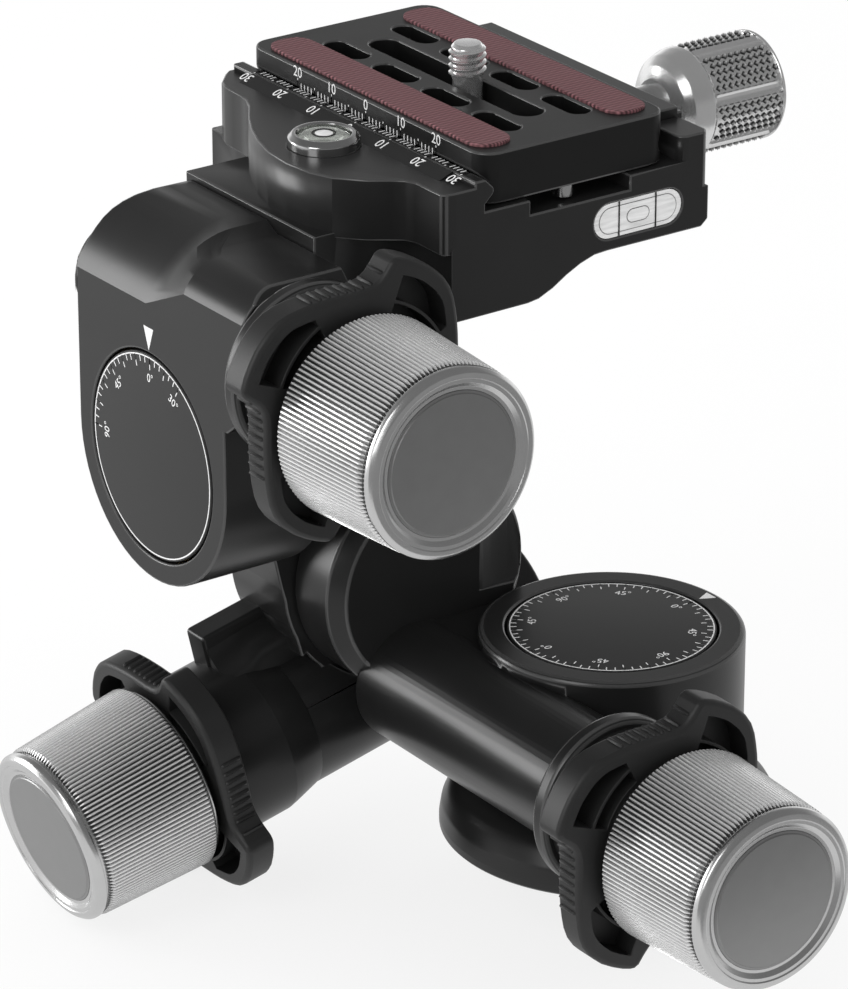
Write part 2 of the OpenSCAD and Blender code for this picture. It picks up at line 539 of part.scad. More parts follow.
// half of the plate's dovetail section, x outwards from the plate's edge at 0
module vee_rib(reach) polygon([[0, vee_z + reach + 0.4], [reach, vee_z + 0.4], [reach, vee_z - 0.4],
  [0, vee_z - reach - 0.4], [-2, vee_z - reach - 0.4], [-2, vee_z + reach + 0.4]]);
module along_y(y0, y1) translate([0, y1, 0]) rotate([90, 0, 0]) linear_extrude(height = y1 - y0) children();
module clamp_body() color("#232427") difference() {
  union() {
    translate([0, 0, rear_top]) linear_extrude(height = flange_t) polygon(concat(flange_edge,
      [[clamp_right - 1, clamp_y0], [clamp_right, clamp_y0 + 1], [clamp_right, clamp_y1 - 1],
       [clamp_right - 1, clamp_y1], [-35, clamp_y1]]));
    // lower part with its swept underside
    along_y(clamp_y0, clamp_y1) translate([0, clamp_top]) polygon([[-38.7, 1 - flange_t], [-38.7, -22.3],
      [-23.5, -22.2], [-21.3, -21.9], [-18.5, -20.7], [-15.7, -19], [-12.8, -17.6], [-10.3, -16.8],
      [-7.2, -16.6], [clamp_right - 1.4, -16.6], [clamp_right, -15.4], [clamp_right, 1 - flange_t]]);
    along_y(roll_front + 10, roll_y + roll_r - 2) translate([0, clamp_top]) polygon([[roll_back, 1 - flange_t],
      [roll_back, -19.5], [-50.5, -22.3], [-38, -22.3], [-38, 1 - flange_t]]);
    along_y(clamp_y0, clamp_y1) translate([plate_l - 0.3, 0]) vee_rib(vee);
  }
  // plate channel, open to both ends and above
  difference() {
    translate([plate_l - 0.3, clamp_y0 - 1, floor_z]) cube([jaw_in - plate_l + 0.3, clamp_len + 2, 20]);
    along_y(clamp_y0 - 2, clamp_y1 + 2) translate([plate_l - 0.3, 0]) vee_rib(vee);
  }
  // shallow groove that the stop pins run in
  translate([plate_x - 10, clamp_y0 - 1, floor_z - 2.5]) cube([20, clamp_len + 2, 10]);
  // room for the jaw between the posts
  translate([jaw_in - 0.3, clamp_y0 + post_len, clamp_top - 26]) cube([20, clamp_len - 2 * post_len, 40]);
  // rounded inner corners of the posts
  for (s = [-1, 1]) translate([jaw_in, roll_y + s * clamp_len / 2, floor_z]) difference() {
    translate([-1, -1.6, 0]) cube([2.6, 3.2, 20]);
    translate([1.6, -s * 1.6, -1]) cylinder(h = 30, r = 1.6);
  }
  // window and bed of the tube level
  translate([-1.3, clamp_y0 - 1, tube_z]) rotate([-90, 0, 0]) linear_extrude(height = 2 * tube_r + 2.2) {
    square([window_len - 6.2, 6.2], center = true);
    for (s = [-1, 1]) translate([s * (window_len - 6.2) / 2, 0]) circle(r = 3.1);
  }
  // thread of the clamp screw and holes of the guide pins
  translate([-20, roll_y, screw_z]) rotate([0, 90, 0]) cylinder(h = 60, r = cscrew_r + fit);
  for (s = [-1, 1]) translate([-8, roll_y + s * 15, screw_z - 1.5]) rotate([0, 90, 0]) {
    cylinder(h = 40, r = 1.6);
    translate([0, 0, 9]) cylinder(h = 40, r = 2.9);
  }
  translate([-42.5, 23.5, clamp_top - 1.4]) cylinder(h = 5, r = bull_r);
  bolt_holes();
}
bolt_r = 2;
module bolt_holes() for (y = [-12, 12]) translate([roll_back - 5, roll_y + y, rear_top - 5])
  rotate([0, 90, 0]) cylinder(h = 17, r = bolt_r);
module clamp_bolts() color("#9b9c9e") bolt_holes();
module round_level() color("#55575a") translate([-42.5, 23.5, clamp_top - 1.4]) difference() {
  union() {
    cylinder(h = bull_up + 0.6, r = bull_r);
    translate([0, 0, bull_up + 0.6]) cylinder(h = 0.8, r1 = bull_r, r2 = bull_r - 0.8);
  }
  translate([0, 0, 0.8]) cylinder(h = 10, r = bull_r - 1.5);
}
module round_glass() color("#c9e36a") translate([-42.5, 23.5, clamp_top - 0.6])
  rotate_extrude() polygon([[0, 0], [bull_r - 1.5, 0], [bull_r - 1.5, bull_up - 0.1],
    [bull_r - 2.4, bull_up + 0.3], [0, bull_up + 0.5]]);
module tube_level() color("#d4ea7a") translate([-1.3, clamp_y0 + 0.8 + tube_r, tube_z]) rotate([0, 90, 0])
  cylinder(h = window_len - 3.8, r = tube_r, center = true);
module jaw() color("#232427") difference() {
  union() {
    translate([0, clamp_y0 + post_len + 0.2, 0]) {
      translate([jaw_in, 0, jaw_low]) cube([jaw_t, clamp_len - 2 * post_len - 0.4, clamp_top + jaw_up - jaw_low - 1]);
      translate([jaw_in + 1, 0, jaw_low]) cube([jaw_t - 2, clamp_len - 2 * post_len - 0.4, clamp_top + jaw_up - jaw_low]);
    }
    along_y(clamp_y0 + post_len + 0.2, clamp_y1 - post_len - 0.2) translate([plate_rt + 0.3, 0])
      mirror([1, 0]) vee_rib(vee);
  }
  translate([0, roll_y, screw_z]) rotate([0, 90, 0]) cylinder(h = 60, r = cscrew_r + fit);
}
module jaw_pins() color("#b9bbbd") for (s = [-1, 1]) translate([-8, roll_y + s * 15, screw_z - 1.5])
  rotate([0, 90, 0]) cylinder(h = jaw_in + 8 - 0.1, r = 1.6 - fit);
module jaw_springs() color("#b9bbbd") for (s = [-1, 1]) translate([1.6, roll_y + s * 15, screw_z - 1.5])
  rotate([0, 90, 0]) coil(2.25, 0.5, 1.2, 3, per = 16, sides = 6);
module clamp_screw() color("#b9bbbd") translate([0, roll_y, screw_z]) rotate([0, 90, 0]) {
  translate([0, 0, -14]) cylinder(h = jaw_out + 16, r = cscrew_r);
  translate([0, 0, jaw_out]) cylinder(h = 28.8 - jaw_out, r = 4.2);
}
module clamp_knob() color("#b5b7ba") translate([0, roll_y, screw_z]) rotate([0, 90, 0]) difference() {
  rotate_extrude($fn = 96) polygon(concat([[0, 28.8], [4.9, 28.8]],
    arc([4.9, 33.6], 4.5, -88, -6, 8), [[cknob_r - 0.2, 33.6], [cknob_r - 0.1, 34.8], [cknob_r - 0.6, 35.2],
    [cknob_r, 35.6], [cknob_r, 33.5 + cknob_len - 0.8], [cknob_r - 0.8, 33.5 + cknob_len],
    [cknob_r - 2.2, 33.5 + cknob_len], [cknob_r - 2.8, 33.1 + cknob_len], [0, 33.1 + cknob_len]]));
  for (k = [0:5]) rotate(60 * k + 15) translate([cknob_r + 0.45, 0, 35.4]) cylinder(h = 40, r = 1.1);
}
module camera_plate() color("#26272a") difference() {
  intersection() {
    along_y(clamp_y0 - 10, clamp_y1 + 10) difference() {
      translate([plate_l, plate_z0]) square([plate_w, plate_t]);
      translate([plate_l, 0]) vee_rib(vee + 0.1);
      translate([plate_rt, 0]) mirror([1, 0]) vee_rib(vee + 0.1);
    }
    translate([plate_x, roll_y, plate_z0 - 1]) linear_extrude(height = plate_t + 2) polygon(concat(
      arc([plate_w / 2 - 3.5, plate_len / 2 - 3.5], 3.5, 0, 90, 6),
      arc([-plate_w / 2 + 3.5, plate_len / 2 - 3.5], 3.5, 90, 180, 6),
      arc([-plate_w / 2 + 3.5, -plate_len / 2 + 3.5], 3.5, 180, 270, 6),
      arc([plate_w / 2 - 3.5, -plate_len / 2 + 3.5], 3.5, 270, 360, 6)));
  }
  translate([plate_x, roll_y, plate_z0 - 1]) linear_extrude(height = plate_t + 2) stadium(slot_len, slot_w);
  translate([plate_x, roll_y, plate_z0 - 1]) linear_extrude(height = 5.6) stadium(slot_len + 9, 15);
  for (s = [-1, 1]) for (k = [-1.5:1.5]) translate([plate_x + s * 7, roll_y + k * 14.35, plate_z0 - 1])
    linear_extrude(height = plate_t + 2) stadium(10.6, 4.1);
  for (s = [-1, 1]) translate([plate_x + s * (plate_w / 2 - 5.1), roll_y, plate_z0 + plate_t - 0.6])
    linear_extrude(height = 2) stadium(pad_len, pad_w);
  for (s = [-1, 1]) stop_pin(s);
}
module stop_pin(s) translate([plate_x - 1, roll_y + s * (plate_len / 2 - 2.3), plate_z0 - 2.2])
  cylinder(h = 6, r = 1.6);
module stadium(len, wid) {
  square([wid, len - wid], center = true);
  for (s = [-1, 1]) translate([0, s * (len - wid) / 2]) circle(d = wid, $fn = 32);
}
module plate_pads() color("#7a2b38") for (s = [-1, 1])
  translate([plate_x + s * (plate_w / 2 - 5.1), roll_y, plate_z0 + plate_t - 0.6])
    linear_extrude(height = 1.1) stadium(pad_len, pad_w);
module stop_pins() color("#c9cacc") for (s = [-1, 1]) stop_pin(s);
module camera_screw() color("#c9cacc") translate([plate_x, roll_y - 3.5, plate_z0]) {
  translate([0, 0, 1.4]) cylinder(h = 3.1, r = 6.9);
  translate([0, 0, 4.4]) cylinder(h = plate_t + 2, r = slot_w / 2 - 0.3);
  translate([0, 0, plate_t + 1.2]) cylinder(h = cam_thread_up - 1, r = cam_thread_r);
  translate([0, 0, plate_t + cam_thread_up + 0.2]) cylinder(h = 0.7, r1 = cam_thread_r, r2 = cam_thread_r - 0.7);
}

// ---------- the three drives ----------
module pan_sleeve() color("#6f7276") at_pan() on_sleeve() sleeve();
module pan_bushes() color("#b08a3e") at_pan() on_sleeve() bushes();
module pan_collar() color("#17181a") at_pan() on_sleeve() collar();
module pan_spring() color("#9b9c9e") at_pan() on_sleeve() collar_spring();
module pan_worm() color("#a8aaad") at_pan() on_worm() worm_shaft();
module pan_knob() color("#c3c5c8") at_pan() on_worm() knob();
module pan_cap() color("#d2d4d6") at_pan() on_worm() knob_cap();
module tilt_sleeve() color("#6f7276") at_tilt() on_sleeve() sleeve();
module tilt_bushes() color("#b08a3e") at_tilt() on_sleeve() bushes();
module tilt_collar() color("#17181a") at_tilt() on_sleeve() collar();
module tilt_spring() color("#9b9c9e") at_tilt() on_sleeve() collar_spring();
module tilt_worm() color("#a8aaad") at_tilt() on_worm() worm_shaft();
module tilt_knob() color("#c3c5c8") at_tilt() on_worm() knob();
module tilt_knob_cap() color("#d2d4d6") at_tilt() on_worm() knob_cap();
module roll_sleeve() color("#6f7276") at_roll() on_sleeve() sleeve();
module roll_bushes() color("#b08a3e") at_roll() on_sleeve() bushes();
module roll_collar() color("#17181a") at_roll() on_sleeve() collar();
module roll_spring() color("#9b9c9e") at_roll() on_sleeve() collar_spring();
module roll_worm() color("#a8aaad") at_roll() on_worm() worm_shaft();
module roll_knob() color("#c3c5c8") at_roll() on_worm() knob();
module roll_cap() color("#d2d4d6") at_roll() on_worm() knob_cap();

base_foot();
thread_bush();
pan_spindle();
pan_wheel();
pan_dial();
pan_housing();
pan_sleeve();
pan_bushes();
pan_collar();
pan_spring();
pan_worm();
pan_knob();
pan_cap();
tilt_spindle();
tilt_wheel();
tilt_housing();
tilt_cover();
tilt_sleeve();
tilt_bushes();
tilt_collar();
tilt_spring();
tilt_worm();
tilt_knob();
tilt_knob_cap();
roll_spindle();
roll_wheel();
roll_dial();
roll_housing();
roll_sleeve();
roll_bushes();
roll_collar();
roll_spring();
roll_worm();
roll_knob();
roll_cap();
clamp_body();
clamp_bolts();
round_level();
round_glass();
tube_level();
jaw();
jaw_pins();
jaw_springs();
clamp_screw();
clamp_knob();
camera_plate();
plate_pads();
stop_pins();
camera_screw();
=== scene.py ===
# Geared tripod head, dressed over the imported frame: rounded castings, ribbed knobs,
# lobed collars, knurl, scales, levels and their finishes. Drawn in mm, made in metres.
import math

import bmesh
import bpy
from mathutils import Matrix, Vector


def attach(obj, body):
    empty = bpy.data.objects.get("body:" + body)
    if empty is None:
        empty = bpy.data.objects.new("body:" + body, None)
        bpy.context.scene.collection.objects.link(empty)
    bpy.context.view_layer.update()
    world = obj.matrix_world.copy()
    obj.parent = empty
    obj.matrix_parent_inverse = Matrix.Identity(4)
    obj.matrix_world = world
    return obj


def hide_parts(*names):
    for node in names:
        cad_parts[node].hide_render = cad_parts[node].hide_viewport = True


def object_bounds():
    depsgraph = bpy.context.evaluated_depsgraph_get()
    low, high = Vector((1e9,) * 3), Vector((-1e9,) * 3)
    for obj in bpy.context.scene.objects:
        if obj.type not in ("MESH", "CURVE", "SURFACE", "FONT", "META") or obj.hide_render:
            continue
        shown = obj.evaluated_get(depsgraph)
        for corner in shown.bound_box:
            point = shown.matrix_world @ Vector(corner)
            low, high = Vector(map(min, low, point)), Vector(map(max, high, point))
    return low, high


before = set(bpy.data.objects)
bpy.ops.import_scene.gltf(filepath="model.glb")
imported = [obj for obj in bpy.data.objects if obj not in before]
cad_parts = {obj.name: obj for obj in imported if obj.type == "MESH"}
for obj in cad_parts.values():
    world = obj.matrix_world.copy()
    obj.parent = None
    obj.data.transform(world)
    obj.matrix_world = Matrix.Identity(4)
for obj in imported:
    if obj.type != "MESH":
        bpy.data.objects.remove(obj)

CAD_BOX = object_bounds()
MM = 0.001
TAU = 2 * math.pi
SCENE = bpy.context.scene


# ---------- expressions on node sockets ----------
class Value:
    """A number in a node tree; arithmetic on it adds Math nodes."""

    def __init__(self, net, socket):
        self.net, self.socket = net, socket

    def _math(self, op, a, b=None):
        ends = {0: a} if b is None else {0: a, 1: b}
        return self.net.value("ShaderNodeMath", {"operation": op}, ends)

    def __add__(self, b):
        return self._math("ADD", self, b)

    def __radd__(self, a):
        return self._math("ADD", a, self)

    def __sub__(self, b):
        return self._math("SUBTRACT", self, b)

    def __rsub__(self, a):
        return self._math("SUBTRACT", a, self)

    def __mul__(self, b):
        return self._math("MULTIPLY", self, b)

    def __rmul__(self, a):
        return self._math("MULTIPLY", a, self)

    def __truediv__(self, b):
        return self._math("DIVIDE", self, b)

    def sin(self):
        return self._math("SINE", self)

    def power(self, b):
        return self._math("POWER", self, b)

    def most(self, b):
        return self._math("MAXIMUM", self, b)


class Net:
    """A node tree that is written in calls; values and links go in by socket name or number."""

    def __init__(self, tree):
        self.tree = tree
        tree.nodes.clear()

    def put(self, kind, settings=None, ends=None):
        node = self.tree.nodes.new(kind)
        for key, value in (settings or {}).items():
            setattr(node, key, value)
        for key, end in (ends or {}).items():
            self.join(node.inputs[key], end)
        return node

    def join(self, socket, end):
        if isinstance(end, Value):
            end = end.socket
        if isinstance(end, bpy.types.NodeSocket):
            self.tree.links.new(end, socket)
        else:
            socket.default_value = end

    def value(self, kind, settings=None, ends=None, out=0):
        return Value(self, self.put(kind, settings, ends).outputs[out])

    def blend(self, factor, a, b):
        """A colour between two colours."""
        return self.put("ShaderNodeMix", {"data_type": "RGBA"}, {0: factor, 6: a, 7: b}).outputs[2]


def grey(v, warm=0.0):
    return (v * (1 + warm), v, v * (1 - warm), 1)


class Finish(Net):
    """A material: one Principled shader fed by patterns on Object coordinates."""

    def __init__(self, name, **fixed):
        self.mat = bpy.data.materials.new(name)
        self.mat.use_nodes = True
        super().__init__(self.mat.node_tree)
        self.out = self.put("ShaderNodeOutputMaterial")
        constants = {key.replace("_", " "): value for key, value in fixed.items()}
        self.shader = self.put("ShaderNodeBsdfPrincipled", {}, constants)
        self.tree.links.new(self.shader.outputs[0], self.out.inputs[0])
        self.coords = self.put("ShaderNodeTexCoord").outputs["Object"]

    def axes(self, at=None):
        """x, y, z in mm, of the object or in the frame `at`."""
        vector = self.coords
        if at is not None:
            back = (Matrix.Scale(MM, 4) @ at).inverted()
            place, turn, size = back.decompose()
            vector = self.put("ShaderNodeMapping", {}, {"Vector": vector, "Location": place,
                              "Rotation": turn.to_euler(), "Scale": size}).outputs[0]
        else:
            vector = self.put("ShaderNodeVectorMath", {"operation": "SCALE"},
                              {0: vector, "Scale": 1 / MM}).outputs[0]
        split = self.put("ShaderNodeSeparateXYZ", {}, {0: vector})
        return [Value(self, s) for s in split.outputs]

    def noise(self, size, detail=2.0, stretch=(1, 1, 1)):
        """Cloudy 0..1 pattern with features about `size` mm across."""
        scaled = self.put("ShaderNodeVectorMath", {"operation": "MULTIPLY"},
                          {0: self.coords, 1: [s / (size * MM) for s in stretch]})
        return self.value("ShaderNodeTexNoise", {},
                          {"Vector": scaled.outputs[0], "Scale": 1.0, "Detail": detail})

    def bump(self, height, depth, strength=1.0):
        """Relief of `depth` mm."""
        node = self.put("ShaderNodeBump", {},
                        {"Height": height, "Distance": depth * MM, "Strength": strength})
        self.join(self.shader.inputs["Normal"], node.outputs[0])

    def feed(self, **ends):
        for key, end in ends.items():
            self.join(self.shader.inputs[key.replace("_", " ")], end)
        return self.mat


def anodised(name, tone, rough, shine=0.5):
    f = Finish(name, Metallic=0.0, Specular_IOR_Level=shine)
    cloud = f.noise(9, 3)
    grain = f.noise(0.16, 2)
    f.bump(grain, 0.004, 0.5)
    return f.feed(Base_Color=f.blend(cloud, grey(tone * 0.9), grey(tone * 1.12)),
                  Roughness=rough - 0.03 + 0.05 * cloud + 0.04 * grain)


def bare_metal(name, light, dark, rough, lay=(1, 1, 1), depth=0.003, size=0.25, metal=1.0):
    f = Finish(name, Metallic=metal)
    cloud = f.noise(5, 3)
    lines = f.noise(size, 2, lay)
    f.bump(lines, depth, 0.6)
    return f.feed(Base_Color=f.blend(cloud, dark, light), Roughness=rough - 0.04 + 0.08 * lines)


def faced(name, light, dark, rough, at, pitch=0.35):
    """Metal faced on a lathe: faint rings round the axis of the frame `at`."""
    f = Finish(name, Metallic=1.0)
    x, y, z = f.axes(at)
    radius = (x * x + y * y).power(0.5)
    rings = (radius * (TAU / pitch)).sin() * 0.5 + 0.5
    cloud = f.noise(3, 3)
    f.bump(rings * 0.6 + f.noise(0.2) * 0.4, 0.0012, 0.6)
    return f.feed(Base_Color=f.blend(cloud, dark, light), Roughness=rough - 0.03 + 0.06 * cloud)


def knurled(name, light, dark, low, high, at):
    """Silver on the points of the knurl, darker down in its grooves as painted shade."""
    f = Finish(name, Metallic=0.8)
    x, y, z = f.axes(at)
    radius = (x * x + y * y).power(0.5)
    share = f.value("ShaderNodeMapRange", {}, {"Value": radius, "From Min": low, "From Max": high})
    return f.feed(Base_Color=f.blend(share, dark, light), Roughness=0.26 + 0.06 * f.noise(0.4))


def moulded(name, tone):
    f = Finish(name, Specular_IOR_Level=0.45)
    grain = f.noise(0.22, 3)
    cloud = f.noise(7, 2)
    f.bump(grain, 0.012, 0.6)
    return f.feed(Base_Color=f.blend(cloud, grey(tone * 0.85), grey(tone * 1.15)),
                  Roughness=0.40 + 0.1 * grain)


def woven_rubber(name, thread, shade):
    """Grip pad: short slanting ribs in rows, as in a twill."""
    f = Finish(name, Specular_IOR_Level=0.35)
    x, y, z = f.axes()
    row_step, rib_step, lean = 0.92, 0.62, 0.55
    row = y / row_step
    slant = (x + y * lean) / rib_step
    ribs = (slant * TAU).sin() * 0.5 + 0.5
    rows = (row * TAU).sin() * 0.5 + 0.5
    height = ribs * 0.65 + rows * 0.35
    f.bump(height * 0.85 + f.noise(0.12) * 0.15, 0.09, 1.0)
    return f.feed(Base_Color=f.blend(height.power(1.4), shade, thread), Roughness=0.62 + 0.12 * f.noise(0.3))


def clear(name, tint, rough, through=0.85):
    f = Finish(name, Transmission_Weight=through, IOR=1.46)
    cloud = f.noise(4, 2)
    return f.feed(Base_Color=f.blend(cloud, tint, [min(1, c * 1.06) for c in tint]),
                  Roughness=rough + 0.02 * cloud)


def streaked_glass(name, dark, light):
    """The level's glass: pale, with painted reflection: the streaks that its bent walls show."""
    f = Finish(name, Transmission_Weight=0.1, IOR=1.46)
    # painted reflection: streaks in the colour, lighter and darker along the glass
    painted_reflection_streaks = f.noise(1.5, 3, (0.3, 1, 2.4))
    return f.feed(Base_Color=f.blend(painted_reflection_streaks.power(1.3), grey(light), grey(dark)),
                  Roughness=0.07 + 0.02 * painted_reflection_streaks)


def paint(name, tone):
    f = Finish(name, Specular_IOR_Level=0.3)
    speck = f.noise(0.12, 2)
    return f.feed(Base_Color=f.blend(speck, grey(tone * 0.92), grey(tone)), Roughness=0.5 + 0.1 * speck)


# ---------- frames: worm axes as in the source, z towards the knob ----------
def axes_at(x, y, z, origin):
    m = Matrix.Identity(4)
    for i, v in enumerate((x, y, z, origin)):
        for k in range(3):
            m[k][i] = v[k]
    return m


DROOP = math.radians(13)
ALONG = Vector((math.cos(DROOP), 0, math.sin(DROOP)))
UPRIGHT = Vector((-math.sin(DROOP), 0, math.cos(DROOP)))
WORM_OUT = 22.2      # from a wheel's axis to its worm's
ROLL_X, ROLL_Y, ROLL_Z = -65.3, 28, 77
WORM = {
    "pan": axes_at((1, 0, 0), (0, 0, 1), (0, -1, 0), (-WORM_OUT, 0, 22.7)),
    "tilt": axes_at(UPRIGHT, (0, 1, 0), -ALONG, Vector((-20, 44.5, 41.3)) - WORM_OUT * UPRIGHT),
    "roll": axes_at((0, 0, -1), (1, 0, 0), (0, -1, 0), (ROLL_X, ROLL_Y, ROLL_Z + WORM_OUT)),
}
SLEEVE = {k: m @ Matrix.Translation((-1.379, 1.157, 0)) for k, m in WORM.items()}
CAP = {"pan": "pan_cap", "tilt": "tilt_knob_cap", "roll": "roll_cap"}

# ---------- finishes ----------
BLACK = anodised("black anodised castings", 0.012, 0.28, 0.42)
# edges partly worn and partly a painted highlight: a lighter black on every rounded edge
EDGE_WEAR_AND_HIGHLIGHT = anodised("black edges with wear and painted highlight", 0.048, 0.24, 0.6)
DIAL_BLACK = anodised("black anodised dials", 0.014, 0.38, 0.42)
PLATE_BLACK = anodised("black anodised plate", 0.006, 0.36, 0.28)
PLASTIC = moulded("collar plastic", 0.015)
SILVER = bare_metal("knob aluminium", grey(0.74), grey(0.66), 0.24)
# painted light: the ribs are a lighter, less metallic copy of the knob aluminium, standing in for light from
# above
LIT_RIB_SILVER = bare_metal("ribbed aluminium, lightened as painted light", grey(0.86), grey(0.78), 0.26, metal=0.6)
# painted shade: a dark grey metal stands in for the shade down between the knob's ribs
GROOVE_SHADE = bare_metal("painted shade in the grooves between the ribs", grey(0.13), grey(0.09), 0.40)
CLAMP_SILVER = bare_metal("clamp knob aluminium", grey(0.86), grey(0.78), 0.24, metal=0.88)
SCREW_STEEL = bare_metal("camera screw steel", grey(0.92), grey(0.82), 0.17, metal=0.88)
STEEL = bare_metal("bright steel", grey(0.72), grey(0.58), 0.22)
SPINDLE = bare_metal("turned spindle steel", grey(0.55), grey(0.45), 0.32)
SLEEVE_GREY = bare_metal("grey sleeve aluminium", grey(0.40), grey(0.32), 0.38)
SPRING = bare_metal("spring wire", grey(0.45), grey(0.35), 0.30)
BRASS = bare_metal("wheel brass", (0.74, 0.52, 0.22, 1), (0.60, 0.40, 0.15, 1), 0.30)
RIM = bare_metal("level rim chrome", grey(0.62), grey(0.50), 0.14)
PADS = woven_rubber("maroon grip pads", (0.29, 0.125, 0.138, 1), (0.045, 0.015, 0.018, 1))
VIAL = clear("level vial", (0.86, 0.90, 0.84, 1), 0.05)
WHITE = paint("engraved white", 0.80)
DARK_LINE = paint("level line", 0.02)
LEVEL_GREY = paint("level shade", 0.16)
# the level glass carries painted streaks of reflection
MILK = streaked_glass("level glass", 0.45, 0.95)
CAP_METAL = {k: faced("faced aluminium " + k, grey(0.39), grey(0.35), 0.42, m) for k, m in WORM.items()}


# ---------- mesh tools ----------
def piece(name, points, faces, finish, at=None, smooth=32):
    """A new object from points in mm, in the frame `at`."""
    mesh = bpy.data.meshes.new(name)
    mesh.from_pydata([tuple(p) for p in points], [], faces)
    return finished(name, mesh, finish, at, smooth)


def finished(name, mesh, finish, at=None, smooth=32):
    if at is not None:
        mesh.transform(at)
    mesh.transform(Matrix.Scale(MM, 4))
    bm = bmesh.new()
    bm.from_mesh(mesh)
    bmesh.ops.remove_doubles(bm, verts=bm.verts, dist=1e-7)
    bmesh.ops.recalc_face_normals(bm, faces=bm.faces)
    bm.to_mesh(mesh)
    bm.free()
    mesh.materials.clear()
    mesh.materials.append(finish)
    mesh.shade_smooth()
    mesh.set_sharp_from_angle(angle=math.radians(smooth))
    obj = bpy.data.objects.new(name, mesh)
    SCENE.collection.objects.link(obj)
    return obj


def settled(obj):
    """The object with its modifiers made into plain mesh."""
    graph = bpy.context.evaluated_depsgraph_get()
    mesh = bpy.data.meshes.new_from_object(obj.evaluated_get(graph), depsgraph=graph)
    obj.modifiers.clear()
    obj.data = mesh
    return obj


def room_beside(edge):
    """How far the two faces of an edge reach from it before their next corner."""
    way = (edge.verts[1].co - edge.verts[0].co).normalized()
    room = 1.0
    for vert in edge.verts:
        for other in vert.link_edges:
            if other is edge or not any(face in edge.link_faces for face in other.link_faces):
                continue
            reach = other.other_vert(vert).co - vert.co
            across = (reach - way * reach.dot(way)).length
            if across > 0.57 * reach.length:
                room = min(room, across)
    return room


def bevelled(obj, width, segments=2, angle=30, weigh=None, edge_wear_and_highlight=None):
    """Rounds the edges that stick out; `weigh` may give each its share, and the last argument is their own
    finish: lighter, for wear and as a painted highlight.
    """
    bm = bmesh.new()
    bm.from_mesh(obj.data)
    share = bm.edges.layers.float.new("bevel_weight_edge")
    for edge in bm.edges:
        if len(edge.link_faces) == 2 and edge.calc_face_angle_signed(0) > math.radians(angle):
            middle = (edge.verts[0].co + edge.verts[1].co) / (2 * MM)
            wish = weigh(middle) if weigh else 1.0
            edge[share] = min(wish, 0.44 * room_beside(edge) / (width * MM))
    bm.to_mesh(obj.data)
    bm.free()
    m = obj.modifiers.new("edges", "BEVEL")
    m.width = width * MM
    m.segments = segments
    m.limit_method = "WEIGHT"
    m.use_clamp_overlap = False
    m.harden_normals = True
    # the rounded edges get the lighter finish, as wear and as painted highlight
    if edge_wear_and_highlight:
        obj.data.materials.append(edge_wear_and_highlight)
        m.material = 1
    return settled(obj)


def together(name, parts):
    """Several objects as one, each face with its own finish."""
    bm = bmesh.new()
    mats = []
    for part in parts:
        start = len(bm.faces)
        bm.from_mesh(part.data)
        mat = part.data.materials[0]
        if mat not in mats:
            mats.append(mat)
        bm.faces.ensure_lookup_table()
        for face in bm.faces[start:]:
            face.material_index = mats.index(mat)
    mesh = bpy.data.meshes.new(name)
    bm.to_mesh(mesh)
    bm.free()
    for mat in mats:
        mesh.materials.append(mat)
    for part in parts:
        bpy.data.objects.remove(part)
    obj = bpy.data.objects.new(name, mesh)
    SCENE.collection.objects.link(obj)
    return obj


def corner_arcs(points, steps=4):
    """Outline points (x, y) or (x, y, radius); a corner with a radius becomes an arc."""
    out = []
    n = len(points)
    for i, p in enumerate(points):
        radius = p[2] if len(p) > 2 else 0
        here = Vector(p[:2])
        if not radius:
            out.append(here)
            continue
        a = Vector(points[i - 1][:2]) - here
        b = Vector(points[(i + 1) % n][:2]) - here
        half = a.angle(b) / 2
        cut = min(radius / math.tan(half), a.length * 0.49, b.length * 0.49)
        p0, p1 = here + a.normalized() * cut, here + b.normalized() * cut
        for k in range(steps + 1):
            t = k / steps
            out.append((1 - t) ** 2 * p0 + 2 * t * (1 - t) * here + t ** 2 * p1)
    return out


def turned(name, profile, finish, at=None, steps=128, smooth=32):
    """A closed section (r, z[, radius]) turned about z."""
    outline = corner_arcs(profile)
    points, rings = [], []
    for r, z in outline:
        if r < 1e-6:
            rings.append([len(points)] * steps)
            points.append((0, 0, z))
        else:
            rings.append(range(len(points), len(points) + steps))
            points += [(r * math.cos(TAU * i / steps), r * math.sin(TAU * i / steps), z)
                       for i in range(steps)]
    faces = []
    for a, b in zip(rings, rings[1:] + rings[:1]):
        for i in range(steps):
            k = (i + 1) % steps
            corners = [a[i], a[k], b[k], b[i]]
            corners = [c for j, c in enumerate(corners) if c not in corners[:j]]
            if len(corners) > 2:
                faces.append(corners)
    return piece(name, points, faces, finish, at, smooth)


def prism(name, outline, z0, z1, finish, at=None, smooth=32):
    n = len(outline)
    points = [(p[0], p[1], z) for z in (z0, z1) for p in outline]
    faces = [list(range(n))[::-1], list(range(n, 2 * n))]
    faces += [[i, (i + 1) % n, n + (i + 1) % n, n + i] for i in range(n)]
    return piece(name, points, faces, finish, at, smooth)


